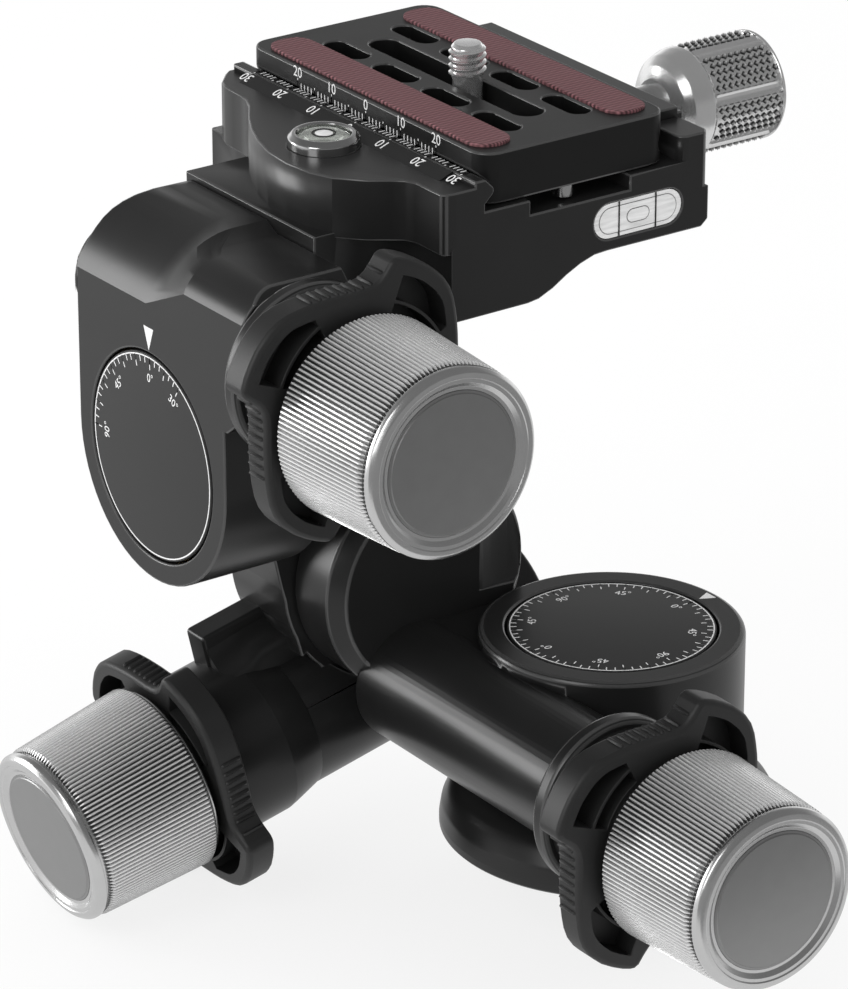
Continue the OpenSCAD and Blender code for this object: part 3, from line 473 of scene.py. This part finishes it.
def repeat(name, unit, count, finish, at, turn=0.0, start=0.0, move=(0, 0, 0), smooth=32):
    """Copies of a small mesh about z or along a line, laid out by a Geometry Nodes tree."""
    tree = bpy.data.node_groups.new(name + "_layout", "GeometryNodeTree")
    inputs = {}
    for label, kind, value in (("Count", "Int", count), ("Start", "Float", start), ("Turn", "Float", turn),
                               ("Move", "Vector", move), ("Unit", "Object", unit),
                               ("Finish", "Material", finish)):
        socket = tree.interface.new_socket(label, in_out="INPUT", socket_type="NodeSocket" + kind)
        inputs[socket.identifier] = value
    tree.interface.new_socket("Geometry", in_out="OUTPUT", socket_type="NodeSocketGeometry")
    net = Net(tree)
    given = net.put("NodeGroupInput").outputs
    index = net.value("GeometryNodeInputIndex")
    spot = net.put("GeometryNodePoints", {}, {"Count": given["Count"]}).outputs[0]
    angle = Value(net, given["Start"]) + Value(net, given["Turn"]) * index
    spin = net.put("ShaderNodeCombineXYZ", {}, {"Z": angle})
    shape = net.put("GeometryNodeObjectInfo", {}, {"Object": given["Unit"]}).outputs["Geometry"]
    laid = net.put("GeometryNodeInstanceOnPoints", {}, {"Points": spot, "Instance": shape,
                   "Rotation": spin.outputs[0]}).outputs[0]
    way = net.put("ShaderNodeVectorMath", {"operation": "SCALE"},
                  {0: given["Move"], "Scale": index}).outputs[0]
    moved = net.put("GeometryNodeTranslateInstances", {}, {"Instances": laid, "Translation": way,
                    "Local Space": False}).outputs[0]
    real = net.put("GeometryNodeRealizeInstances", {}, {"Geometry": moved}).outputs[0]
    coated = net.put("GeometryNodeSetMaterial", {},
                     {"Geometry": real, "Material": given["Finish"]}).outputs[0]
    net.put("NodeGroupOutput", {}, {"Geometry": coated})
    carrier = bpy.data.objects.new(name, bpy.data.meshes.new(name))
    SCENE.collection.objects.link(carrier)
    modifier = carrier.modifiers.new("layout", "NODES")
    modifier.node_group = tree
    for key, value in inputs.items():
        modifier[key] = value
    settled(carrier)
    mesh = carrier.data
    bpy.data.objects.remove(carrier)
    bpy.data.objects.remove(unit)
    return finished(name, mesh, finish, at, smooth)


def unit_of(points, faces):
    """A small mesh in its own units for repeat()."""
    mesh = bpy.data.meshes.new("unit")
    mesh.from_pydata([tuple(p) for p in points], [], faces)
    obj = bpy.data.objects.new("unit", mesh)
    SCENE.collection.objects.link(obj)
    return obj


def slab(x0, x1, y0, y1, z0, z1):
    """Points and faces of a plain block, for ticks."""
    pts = [(x, y, z) for z in (z0, z1) for x, y in ((x0, y0), (x1, y0), (x1, y1), (x0, y1))]
    faces = [(3, 2, 1, 0), (4, 5, 6, 7), (0, 1, 5, 4), (1, 2, 6, 5), (2, 3, 7, 6), (3, 0, 4, 7)]
    return pts, faces


def label(text, size, at, thick=0.03):
    """Figures as thin flat paint, centred in the frame `at`."""
    curve = bpy.data.curves.new("figures", "FONT")
    curve.body = text
    curve.size = size
    curve.align_x = "CENTER"
    curve.align_y = "CENTER"
    curve.extrude = thick / 2
    curve.resolution_u = 3
    obj = bpy.data.objects.new("figures", curve)
    SCENE.collection.objects.link(obj)
    graph = bpy.context.evaluated_depsgraph_get()
    mesh = bpy.data.meshes.new_from_object(obj.evaluated_get(graph), depsgraph=graph)
    bpy.data.objects.remove(obj)
    return finished("figures", mesh, WHITE, at, 20)


def dressed(node, finish, width, segments=2, angle=30, smooth=34, weigh=None, reshape=None, edge_wear_and_highlight=None):
    """A CAD node's own shape with its edges rounded."""
    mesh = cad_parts[node].data.copy()
    bm = bmesh.new()
    bm.from_mesh(mesh)
    bmesh.ops.remove_doubles(bm, verts=bm.verts, dist=2e-6)
    bmesh.ops.dissolve_degenerate(bm, edges=bm.edges, dist=1e-6)
    bmesh.ops.dissolve_limit(bm, angle_limit=math.radians(0.4), verts=bm.verts, edges=bm.edges)
    for vert in bm.verts if reshape else ():
        vert.co = reshape(vert.co / MM) * MM
    bm.to_mesh(mesh)
    bm.free()
    mesh.materials.clear()
    mesh.materials.append(finish)
    mesh.shade_smooth()
    mesh.set_sharp_from_angle(angle=math.radians(smooth))
    obj = bpy.data.objects.new(node + "_dressed", mesh)
    SCENE.collection.objects.link(obj)
    if width:
        bevelled(obj, width, segments, angle, weigh, edge_wear_and_highlight)
    even = obj.modifiers.new("even shading", "WEIGHTED_NORMAL")
    even.mode = "FACE_AREA_WITH_ANGLE"
    even.keep_sharp = True
    settled(obj)
    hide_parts(node)
    return obj


# ---------- drives: knob, cap, collar ----------
RIBS = 132
# a lobe's outline: degrees after its steep end, share of its depth
LOBE_TOP, LOBE_DEPTH = 23.7, 5.3
LOBE = [(0, .04), (3, 0), (17, 0), (26, .06), (33, .17), (39, .38), (46, .58), (52, .73), (60, .89), (71, 1),
        (78, .97), (83, .84), (86, .5), (88, .16), (90, .04)]
HORN = math.radians(74)


def knob(axis):
    at = WORM[axis]
    hollow = [(3, 50), (6.5, 50), (6.5, 56), (14.4, 56)]
    back_lip = [(15.2, 49, 0.3), (16.0, 48.5, 0.4), (16.3, 49.2, 0.3), (15.3, 49.3)]
    front_lip = [(15.1, 70.9), (15.1, 71.1), (15.1, 71.5, 0.1), (15.75, 71.7, 0.3), (15.75, 72.6, 0.8),
                 (15.0, 73.45, 0.8), (14.1, 73.5, 0.12), (13.95, 73.3, 0.08), (13.35, 73.3, 0.1)]
    cap_seat = [(12.6, 72.75, 0.15), (12.05, 72.75), (12.05, 71.9), (3, 71.9)]
    body = turned(axis + "_knob_body", hollow + back_lip + front_lip + cap_seat, SILVER, at, 192)
    # painted shade: a dark sleeve under the ribs gives the shade between them
    valley = turned("valley", [(15, 49.3), (16.45, 49.3), (15.42, 70.9), (15, 70.9)], GROOVE_SHADE, at, 192)
    z = ((49.2, 16.25, 0.14), (49.9, 16.95, 0.26), (70.2, 15.95, 0.26), (70.95, 15.3, 0.14))
    pts = []
    for height, radius, half in z:
        pts += [(radius - 0.9, -half * 1.1, height), (radius, -half * 0.5, height),
                (radius, half * 0.5, height), (radius - 0.9, half * 1.1, height)]
    faces = [[0, 3, 2, 1], [12, 13, 14, 15]]
    for i in range(3):
        faces += [[4 * i + k, 4 * i + k + 1, 4 * i + k + 5, 4 * i + k + 4] for k in range(3)]
        faces.append([4 * i + 3, 4 * i, 4 * i + 4, 4 * i + 7])
    ribs = repeat(axis + "_ribs", unit_of(pts, faces), RIBS, LIT_RIB_SILVER, at, turn=TAU / RIBS, smooth=25)
    obj = together(axis + "_ribbed_knob", [body, valley, ribs])
    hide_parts(axis + "_knob")
    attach(obj, axis + "_drive")
    cap = turned(axis + "_faced_cap", [(0, 71.95), (12.0, 71.95), (12.0, 72.85, 0.12), (11.6, 72.9, 0.08),
                 (11.45, 73.08, 0.08), (0, 73.08)], CAP_METAL[axis], at, 160)
    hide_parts(CAP[axis])
    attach(cap, axis + "_drive")


def lobe_point(degrees):
    """Outline of the collar, degrees after a lobe's steep end."""
    for (a, u), (b, v) in zip(LOBE, LOBE[1:]):
        if a <= degrees <= b:
            radius = LOBE_TOP - LOBE_DEPTH * (u + (v - u) * (degrees - a) / (b - a))
            turn = math.radians(degrees)
            return Vector((radius * math.cos(turn), -radius * math.sin(turn), 0))


# one rib of a thumb pad: z, share of its height and width there; then its section
RIB_LEVELS = ((42.15, 0.0, 0.6), (42.6, 1.0, 1.0), (45.9, 1.0, 1.0), (46.25, 0.75, 0.8), (46.45, 0.0, 0.4))
RIB_SECTION = ((-.42, -.35), (-.30, .22), (0, .42), (.30, .22), (.42, -.35))


def pad_ribs():
    """The small ribs of one thumb pad, across its hollow."""
    points, faces = [], []
    for i in range(9):
        angle = 47.5 + i * 4.75
        here = lobe_point(angle)
        along = (lobe_point(min(90, angle + 1.5)) - lobe_point(angle - 1.5)).normalized()
        out = Vector((-along.y, along.x, 0))
        if out.dot(here) < 0:
            out = -out
        for z, high, wide in RIB_LEVELS:
            for t, n in RIB_SECTION:
                spot = here + along * t * wide + out * (-.35 + (n + .35) * high)
                points.append((spot.x, spot.y, z))
        base = i * 25
        for k in range(4):
            for j in range(5):
                m = (j + 1) % 5
                faces.append([base + 5 * k + j, base + 5 * k + m, base + 5 * k + 5 + m, base + 5 * k + 5 + j])
        faces += [[base + j for j in range(5)], [base + 20 + j for j in range(5)]]
    return unit_of(points, faces)


def collar(axis):
    at = SLEEVE[axis]
    back = at.inverted()

    def edge_share(middle):
        spot = back @ middle
        degrees = (math.degrees(HORN - math.atan2(spot.y, spot.x))) % 90
        outer = math.hypot(spot.x, spot.y) > lobe_point(degrees).length - 0.8
        return 1.0 if outer and spot.z > 44 else 0.45 if outer else 0.16
    shell = dressed(axis + "_collar", PLASTIC, 0.9, 3, weigh=edge_share)
    ribs = repeat(axis + "_pad_ribs", pad_ribs(), 4, PLASTIC, at, turn=TAU / 4, start=HORN, smooth=50)
    for obj in (shell, ribs):
        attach(obj, axis + "_lever")


for name in ("pan", "tilt", "roll"):
    knob(name)
    collar(name)


# ---------- housings ----------
# the roll housing's crown along y: y, height of its top, radius of its corner
CROWN = [(-9, 114, 4.8), (17.2, 114, 4.9), (20.2, 114, 6.3), (23.5, 115.5, 9.3), (28.7, 115.5, 11.7),
         (60, 115.5, 12)]
CROWN_SIDE = -74.1       # x of the housing's outer side
CROWN_SWELL = 1.6        # the crisp corner's arc, in radii of the round one
CROWN_REACH = 1.4834     # CROWN_SWELL * cos(22 degrees)
BARREL_X, BARREL_Z = -64.14, 100.58
BARREL_END_FROM, BARREL_END_KEEP, BARREL_END_R = 50.3, 0.37, 9.1


def roll_shape(spot):
    """The roll housing's top meets its side in a crisp line, and its barrel ends close behind it."""
    x, y, z = spot
    out = Vector((x - BARREL_X, 0, z - BARREL_Z))
    if y > BARREL_END_FROM and out.length < 11:
        out *= min(1, BARREL_END_R / max(out.length, 1e-6))
        end = BARREL_END_FROM + (y - BARREL_END_FROM) * BARREL_END_KEEP
        return Vector((out.x + BARREL_X, end, out.z + BARREL_Z))
    for (y0, top0, r0), (y1, top1, r1) in zip(CROWN, CROWN[1:]):
        if y0 <= y < y1:
            t = (y - y0) / (y1 - y0)
            top, r = top0 + t * (top1 - top0), r0 + t * (r1 - r0)
            across, up = r - (x - CROWN_SIDE), z - top + r
            on_arc = abs(math.hypot(across, up) - r) < 0.12
            if up > 0.01 * r and across > -0.01 * r and on_arc:
                share = math.atan2(up, max(across, 0)) / math.radians(90)
                swing = math.radians(22) + math.radians(68) * share
                return Vector((CROWN_SIDE + r * (CROWN_REACH - CROWN_SWELL * math.cos(swing)), y,
                               top - r * CROWN_SWELL * (1 - math.sin(swing))))
    return spot


for node, body, width in (("pan_housing", "pan_body", 0.35), ("tilt_housing", "tilt_body", 0.35),
                          ("roll_housing", "roll_body", 0.35), ("clamp_body", "roll_body", 0.3),
                          ("jaw", "jaw_body", 0.3), ("tilt_cover", "tilt_body", 0.3)):
    leg = node == "roll_housing"
    shell = dressed(node, BLACK, width, smooth=24 if leg else 34, reshape=roll_shape if leg else None,
                    edge_wear_and_highlight=EDGE_WEAR_AND_HIGHLIGHT)
    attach(shell, body)

# the tilt barrel runs on to its collar, with a rail along its top and a bank beside the rail;
# along u, w across, in the frame of the rail
RAIL = axes_at(ALONG, UPRIGHT, (0, -1, 0), (-20, 0, 41.3))
mouth = turned("mouth", [(13.45, 24.5), (13.7, 24.5, 0.1), (14.9, 29.5, 2), (15.2, 31, 1), (15.2, 41.5, 0.3),
               (15.06, 41.7), (15.06, 38.6), (13.45, 38.6)], BLACK, SLEEVE["tilt"], 160)
bar = prism("bar", corner_arcs([(-9, -2.4), (-34.6, -2.4, 0.9), (-34.6, -11.5), (-9, -11.5)]), -51.7, -46.3,
            BLACK, RAIL)
bevelled(bar, 0.6, 3)
TALL = [(46.6, -4.2), (45.4, -5.4), (43.6, -6.0), (41.4, -6.2), (40.9, -6.9), (40.6, -8.2), (40.4, -12),
        (46.6, -12)]
LOW = [(46.6, -4.2), (45.6, -6.4), (44.2, -8.0), (42.6, -8.9), (41.6, -9.3), (40.9, -9.6), (40.4, -12),
       (46.6, -12)]
HALFWAY = [((a + c) / 2, (b + d) / 2) for (a, b), (c, d) in zip(TALL, LOW)]
sections = [(-8, TALL), (-26.8, TALL), (-29.5, HALFWAY), (-34.2, LOW)]
around = len(TALL)
spots = [(u, w, -y) for u, section in sections for y, w in section]
walls = []
for i in range(len(sections) - 1):
    near, far = around * i, around * (i + 1)
    walls += [(near + k, near + (k + 1) % around, far + (k + 1) % around, far + k) for k in range(around)]
lids = [tuple(range(around)), tuple(range(len(spots) - around, len(spots)))]
bank = piece("bank", spots, walls + lids, BLACK, RAIL, 40)
rail = together("tilt_barrel_mouth", [mouth, bar, bank])
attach(rail, "tilt_body")
board = dressed("camera_plate", PLATE_BLACK, 0.35, edge_wear_and_highlight=EDGE_WEAR_AND_HIGHLIGHT)
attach(board, "plate_body")

foot = turned("foot_disc", [(8, 0), (28.9, 0, 0.3), (29.4, 0.5, 0.3), (29.4, 1.8, 0.8), (29.0, 4.4, 3),
              (27.5, 7.5, 4), (24.2, 9.0, 4), (20, 9.5, 1), (12, 9.5), (12, 4), (8, 4)], BLACK, None, 160, 40)
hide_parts("base_foot")
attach(foot, "base")


# ---------- dials ----------
def dial(name, node, body, at, rim, ticks, figures):
    """Disc with a white ring, ticks every 5 degrees and figures with their tops outwards."""
    disc = turned(name, [(0, 0), (14, 0), (14, 4 - rim), (17.9, 4 - rim), (17.9, 3.8, 0.1), (17.75, 4, 0.1),
                  (0, 4)], DIAL_BLACK, at, 160)
    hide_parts(node)
    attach(disc, body)
    ring = turned("ring", [(17.3, 3.95), (17.52, 3.95), (17.52, 4.03), (17.3, 4.03)], WHITE, at, 160)
    marks = [ring]
    for first, last in ticks:
        for step, length in ((5, 1.15), (15, 2.1)):
            n = int((last - first) / step) + (0 if last - first == 360 else 1)
            unit = unit_of(*slab(17.4 - length, 17.4, -0.09, 0.09, 3.95, 4.03))
            marks.append(repeat("ticks", unit, n, WHITE, at, turn=math.radians(step),
                                start=math.radians(first)))
    for angle, text in figures:
        a = math.radians(angle)
        spot = at @ Matrix.Rotation(a - TAU / 4, 4, "Z") @ Matrix.Translation((0, 13.7, 4.0))
        marks.append(label(text, 2.1, spot))
    scale = together(name + "_scale", marks)
    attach(scale, body)


PAN_DIAL = Matrix.Translation((0, 0, 33))
ROLL_DIAL = axes_at((0, -1, 0), (0, 0, 1), (-1, 0, 0), (-70, ROLL_Y, ROLL_Z))
dial("pan_dial_disc", "pan_dial", "base", PAN_DIAL, 3, [(0, 360)],
     [(0, "0°"), (45, "45°"), (90, "90°"), (135, "45°"), (180, "0°"), (225, "45°"), (270, "90°"),
      (315, "45°")])
dial("roll_dial_disc", "roll_dial", "tilt_body", ROLL_DIAL, 1.2, [(60, 180)],
     [(60, "30°"), (90, "0°"), (135, "45°"), (180, "90°")])


def arrow(name, body, at, tip, base, half):
    obj = prism(name, [(tip, 0), (base, -half), (base, half)], 0.0, 0.04, WHITE, at)
    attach(obj, body)


arrow("pan_marker", "pan_body", Matrix.Translation((0, 0, 37.2)), 18.75, 21.4, 1.3)
arrow("roll_marker", "roll_body", axes_at((0, 0, 1), (0, 1, 0), (-1, 0, 0), (CROWN_SIDE, ROLL_Y, ROLL_Z)),
      18.8, 22.8, 1.45)


# ---------- rulers ----------
def ruler(name, body, at, first, last, lengths, figures, size, gap, wide=0.19, slope=None):
    """Ticks each millimetre along x, growing to +y, with figures past them."""
    marks = []
    for step, length in zip((1, 5, 10), lengths):
        lo = math.ceil(first / step) * step
        n = int((last - lo) // step) + 1
        unit = unit_of(*slab(-wide / 2 + lo, wide / 2 + lo, 0, length, -0.02, 0.03))
        marks.append(repeat("ticks", unit, n, WHITE, at, move=(step, 0, 0)))
    for spot, text in figures:
        marks.append(label(text, size, (slope or at) @ Matrix.Translation((spot, gap, 0.015))))
    scale = together(name, marks)
    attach(scale, body)


# on the flange the figures read from the left, on the plate's side from the outside
FAN = math.radians(19.9)
ruler("flange_ruler", "roll_body", axes_at((0, 1, 0), (-1, 0, 0), (0, 0, 1), (-32.2, 27.0, 127.06)), -30, 30,
      (1.15, 1.5, 1.85), [(s * v, str(v)) for s in (-1, 1) for v in (10, 20, 30)] + [(0, "0")], 2.7, 1.35,
      slope=axes_at((0, 1, 0), (-math.cos(FAN), 0, -math.sin(FAN)), (-math.sin(FAN), 0, math.cos(FAN)),
                    (-34.1, 27.0, 127.07)))
ruler("plate_ruler", "plate_body", axes_at((0, -1, 0), (0, 0, 1), (-1, 0, 0), (-31.8, 27.0, 126.85)), -20, 20,
      (1.05, 1.4, 1.75), [(s * v, str(v)) for s in (-1, 1) for v in (10, 20)] + [(0, "0")], 2.6, 2.75)
# the flange rises gently to the jaw's lip, and its figures lie on the slope
ramped = prism("flange_slope", [(-34.2, 126.0), (-34.2, 127.04), (-34.1, 127.04), (-37.0, 125.99)],
               -57.0, 1.0, BLACK, axes_at((1, 0, 0), (0, 0, 1), (0, -1, 0), (0, 0, 0)))
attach(ramped, "roll_body")

# ---------- levels ----------
LEVEL = Matrix.Translation((-42.5, 23.5, 124.6))
rim = turned("level_rim", [(4.5, 0.8), (4.5, 0.0), (6, 0), (6, 2.9, 0.5), (5.2, 3.7, 0.5), (4.7, 3.7, 0.2),
             (4.5, 3.4)], RIM, LEVEL, 96)
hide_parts("round_level")
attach(rim, "roll_body")
lens = turned("level_lens", [(0, 0.8), (4.45, 0.8), (4.45, 3.0, 0.3), (3.5, 3.35, 0.8), (0, 3.5)],
              VIAL, LEVEL, 96)
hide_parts("round_glass")
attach(lens, "roll_body")
bubble = turned("level_bubble", [(0, 3.3), (1.5, 3.3, 0.1), (1.5, 3.5, 0.1), (1.1, 3.6, 0.2), (0, 3.64)],
                MILK, LEVEL, 48)
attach(bubble, "roll_body")
bubble_ring = turned("bubble_ring", [(1.7, 3.46), (2.0, 3.46), (2.0, 3.56), (1.7, 3.56)],
                     DARK_LINE, LEVEL, 64)
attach(bubble_ring, "roll_body")

# ---------- pads and screws ----------
PLATE_X = -13.1          # middle of the plate
PAD_HALF_WIDTH, PAD_HALF_LENGTH, PAD_CORNER = 3.85, 31.25, 3.84
for side in (-1, 1):
    outline = corner_arcs([(x * PAD_HALF_WIDTH, y * PAD_HALF_LENGTH, PAD_CORNER)
                           for x, y in ((-1, -1), (1, -1), (1, 1), (-1, 1))], steps=8)
    pad = prism("pad", outline, 130.0, 131.1, PADS, Matrix.Translation((PLATE_X + side * 13.6, ROLL_Y, 0)))
    bevelled(pad, 0.25, 2)
    pad.name = "grip_pad_" + ("left" if side < 0 else "right")
    if side < 0:
        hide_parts("plate_pads")
    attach(pad, "plate_body")

CLAMP_AXIS = axes_at((0, 1, 0), (0, 0, 1), (1, 0, 0), (0, ROLL_Y, 116.5))
flutes = []
for k in range(6):
    middle = math.radians(45 + 60 * k)
    flutes += [Vector((9.02 * math.cos(middle + a), 9.02 * math.sin(middle + a))) for a in
               (math.radians(d) for d in (-52, -44, -36, -28, -20, -12, -7.4))]
    hub = Vector((10.15 * math.cos(middle), 10.15 * math.sin(middle)))
    flutes += [hub + Vector((math.cos(middle + a), math.sin(middle + a))) * 1.25 for a in
               (math.radians(d) for d in (-128, -148, -168, 172, 152, 132))]
flutes.sort(key=lambda v: math.atan2(v.y, v.x))
grip = prism("grip", flutes, 35.5, 49.6, CLAMP_SILVER, CLAMP_AXIS, 25)
dome = turned("dome", [(0, 28.8), (4.9, 28.8, 0.3), (5.7, 29.15, 0.5), (7.2, 29.9, 1.5), (8.6, 31.3, 1.5),
              (9.3, 33.2, 0.5), (9.45, 33.7, 0.2), (9.6, 34.6, 0.3), (9.1, 35.1, 0.1), (8.9, 35.6),
              (0, 35.6)], CLAMP_SILVER, CLAMP_AXIS, 128)
end = turned("end", [(0, 49.4), (9.4, 49.4, 0.1), (9.6, 49.6, 0.15), (9.6, 49.9, 0.25), (8.9, 50.3, 0.25),
             (7.5, 50.3, 0.2), (6.9, 49.9, 0.2), (0, 49.9)], CLAMP_SILVER, CLAMP_AXIS, 128)
points, faces = [], []
for row in range(5):
    for column in range(10):
        turn = math.radians((row - 2) * 8.7)
        z = 36.35 + column * 1.34 + (row % 2) * 0.67
        base = len(points)
        for radius, half in ((9.0, 1.0), (9.68, 0.12)):
            for u, v in ((-0.67, 0), (0, -0.64), (0.67, 0), (0, 0.64)):
                a = turn + v * half / 9.25
                points.append((radius * math.cos(a), radius * math.sin(a), z + u * half))
        faces += [[base + k, base + (k + 1) % 4, base + 4 + (k + 1) % 4, base + 4 + k] for k in range(4)]
        faces.append([base + 4 + k for k in range(4)])
# painted shade: the knurl's colour darkens from its points down into its grooves
KNURL_WITH_PAINTED_SHADE = knurled("knurl points with painted groove shade", grey(0.90), grey(0.02), 9.16, 9.62, CLAMP_AXIS)
knurl = repeat("knurl", unit_of(points, faces), 6, KNURL_WITH_PAINTED_SHADE, CLAMP_AXIS, turn=TAU / 6,
               start=math.radians(15), smooth=5)
knob_piece = together("knurled_knob", [grip, dome, end, knurl])
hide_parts("clamp_knob")
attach(knob_piece, "clamp_drive")

# camera screw: head in the plate's slot, post with a coarse thread
SCREW = Matrix.Translation((PLATE_X, 24.5, 0))
post = turned("post", [(0, 123.3), (6.9, 123.3, 0.3), (6.9, 126.4, 0.4), (2.5, 126.4), (2.5, 131.3),
              (2.72, 131.8), (2.72, 136.9, 0.3), (2.2, 137.5, 0.3), (0, 137.5)], SCREW_STEEL, SCREW, 64)
points, faces = [], []
turns, per = 4.1, 32
for i in range(int(turns * per) + 1):
    a = TAU * i / per
    fade = min(1, i / 8, (turns * per - i) / 8)
    for r, z in ((2.6, -0.52), (3.15, -0.12), (3.15, 0.12), (2.6, 0.52)):
        r = 2.6 + (r - 2.6) * fade
        points.append((r * math.cos(a), r * math.sin(a), 131.9 + 1.2 * i / per + z * 0.95))
    if i:
        b = 4 * i
        faces += [[b - 4 + k, b - 3 + k, b + 1 + k, b + k] for k in range(3)]
helix = piece("helix", points, faces, SCREW_STEEL, SCREW, 40)
screw = together("camera_thread", [post, helix])
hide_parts("camera_screw")
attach(screw, "screw_body")

# tube level: a window with rounded ends in front of the vial, and its two lines
TUBE = axes_at((0, 1, 0), (0, 0, 1), (1, 0, 0), (-1.3, -3.6, 114.5))
FRONT = axes_at((1, 0, 0), (0, 0, 1), (0, -1, 0), (-1.3, 0, 114.5))


def capsule(half, radius):
    """Outline with round ends, `half` from the middle to each end's centre."""
    return [Vector((side * half + radius * math.cos(math.radians(a)), radius * math.sin(math.radians(a))))
            for side, first in ((1, -90), (-1, 90)) for a in range(first, first + 181, 15)]


window = prism("window", capsule(5.9, 3.0), 5.6, 7.0, MILK, FRONT)
POOLS = ((5.6, 2.35, 7.03, LEVEL_GREY), (5.6, 2.2, 7.06, MILK), (1.1, 1.25, 7.09, LEVEL_GREY),
         (1.1, 1.08, 7.12, MILK))
pool = [prism("pool", capsule(half, radius), 6.9, top, finish, FRONT) for half, radius, top, finish in POOLS]
vial = turned("vial", [(0, -7.6), (2.1, -7.6, 1.2), (2.1, 7.6, 1.2), (0, 7.6)], MILK,
              TUBE @ Matrix.Translation((0, 1.7, 0)), 64)
level = together("tube_level_glass", [window, vial] + pool)
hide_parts("tube_level")
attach(level, "roll_body")
strips = []
for x in (-3.9, 3.6):
    strip = [(x - 0.13, -3.0), (x + 0.13, -3.0), (x + 0.13, 3.0), (x - 0.13, 3.0)]
    strips.append(prism("line", strip, 7.08, 7.16, DARK_LINE, FRONT))
lines = together("vial_lines", strips)
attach(lines, "roll_body")

# ---------- the other nodes keep their shape and get a finish ----------
PLAIN = {
    "thread_bush": STEEL, "pan_spindle": SPINDLE, "tilt_spindle": SPINDLE, "roll_spindle": SPINDLE,
    "pan_wheel": BRASS, "tilt_wheel": BRASS, "roll_wheel": BRASS, "pan_worm": STEEL, "tilt_worm": STEEL,
    "roll_worm": STEEL, "pan_sleeve": SLEEVE_GREY, "tilt_sleeve": SLEEVE_GREY, "roll_sleeve": SLEEVE_GREY,
    "pan_bushes": BRASS, "tilt_bushes": BRASS, "roll_bushes": BRASS, "pan_spring": SPRING,
    "tilt_spring": SPRING, "roll_spring": SPRING, "clamp_bolts": STEEL,
    "jaw_pins": STEEL, "jaw_springs": SPRING, "clamp_screw": STEEL,
    "stop_pins": STEEL,
}
for node, finish in PLAIN.items():
    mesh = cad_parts[node].data
    mesh.materials.clear()
    mesh.materials.append(finish)

# ---------- floor, light, camera ----------
floor_mesh = bpy.data.meshes.new("floor")
floor_mesh.from_pydata([(-0.9, -0.13, 0), (0.9, -0.13, 0), (0.9, 0.9, 0), (-0.9, 0.9, 0)], [], [(0, 1, 2, 3)])
floor = bpy.data.objects.new("floor", floor_mesh)
floor.location.z = CAD_BOX[0][2] - 0.0002
SCENE.collection.objects.link(floor)
cloth = Finish("pale floor", Specular_IOR_Level=0.1)
cloth.feed(Base_Color=cloth.blend(cloth.noise(40), grey(0.90), grey(0.93)), Roughness=0.85)
rays = cloth.put("ShaderNodeLightPath").outputs
seen_plain = Value(cloth, rays["Is Camera Ray"]).most(Value(cloth, rays["Is Transmission Ray"]))
mirrored = Value(cloth, rays["Is Glossy Ray"])
glow = cloth.put("ShaderNodeEmission", {}, {"Color": grey(1.0), "Strength": 1.0 - 0.30 * mirrored})
laid = cloth.put("ShaderNodeMixShader", {}, {0: (seen_plain * 0.80).most(mirrored * 0.9),
                 1: cloth.shader.outputs[0], 2: glow.outputs[0]})
cloth.tree.links.new(laid.outputs[0], cloth.out.inputs[0])
floor_mesh.materials.append(cloth.mat)

# white backdrop seen by camera, glass and, low behind the head, by metal; soft light elsewhere
world = bpy.data.worlds.new("studio")
SCENE.world = world
world.use_nodes = True
net = Net(world.node_tree)


def ramp(value, low, high):
    return net.value("ShaderNodeMapRange", {"interpolation_type": "SMOOTHSTEP"},
                     {"Value": value, "From Min": low, "From Max": high})


seen = net.put("ShaderNodeLightPath").outputs
way = net.put("ShaderNodeSeparateXYZ", {}, {0: net.put("ShaderNodeTexCoord").outputs["Generated"]}).outputs
behind = ramp(Value(net, way["Y"]), -0.35, 0.35)
low = 1 - ramp(Value(net, way["Z"]), 0.10, 0.34)
middle = 1 - ramp(Value(net, way["Z"]), 0.30, 0.75)
backdrop = 0.17 + behind * (middle * 0.20 + low * 0.72) + (1 - behind) * low * 0.10
glossy = Value(net, seen["Is Glossy Ray"])
direct = Value(net, seen["Is Camera Ray"]).most(Value(net, seen["Is Transmission Ray"]))
strength = direct + (1 - direct) * (glossy * backdrop + (1 - glossy) * 1.0)
sky = net.put("ShaderNodeBackground", {}, {"Color": grey(1.0), "Strength": strength})
net.put("ShaderNodeOutputWorld", {}, {0: sky.outputs[0]})


def lamp(name, spot, aim, size, power, long=None):
    data = bpy.data.lights.new(name, "AREA")
    data.shape = "RECTANGLE"
    data.size = size
    data.size_y = long or size
    data.energy = power
    obj = bpy.data.objects.new(name, data)
    obj.location = Vector(spot)
    obj.rotation_euler = (Vector(aim) - Vector(spot)).to_track_quat("-Z", "Y").to_euler()
    SCENE.collection.objects.link(obj)


lamp("key_left", (-0.75, -0.25, 0.5), (-0.02, 0, 0.06), 0.4, 2.0, 0.6)
lamp("back_left", (-0.62, 0.76, 0.13), (-0.02, 0, 0.06), 0.35, 3.4, 0.5)

# the camera that was fitted to the photograph
FOCAL_PIXELS, PICTURE_HEIGHT, SENSOR = 5500, 989, 36
eye = bpy.data.cameras.new("camera")
eye.sensor_width = SENSOR
eye.lens = FOCAL_PIXELS * SENSOR / PICTURE_HEIGHT
eye.clip_end = 50
camera = bpy.data.objects.new("camera", eye)
camera.matrix_world = axes_at((0.81814972, -0.57500525, 0), (0.23112208, 0.32885346, 0.91566259),
                              (-0.5265108, -0.74914909, 0.40194778),
                              (-0.51388543, -0.67556065, 0.43387177))
SCENE.collection.objects.link(camera)
SCENE.camera = camera
SCENE.view_settings.view_transform = "Standard"
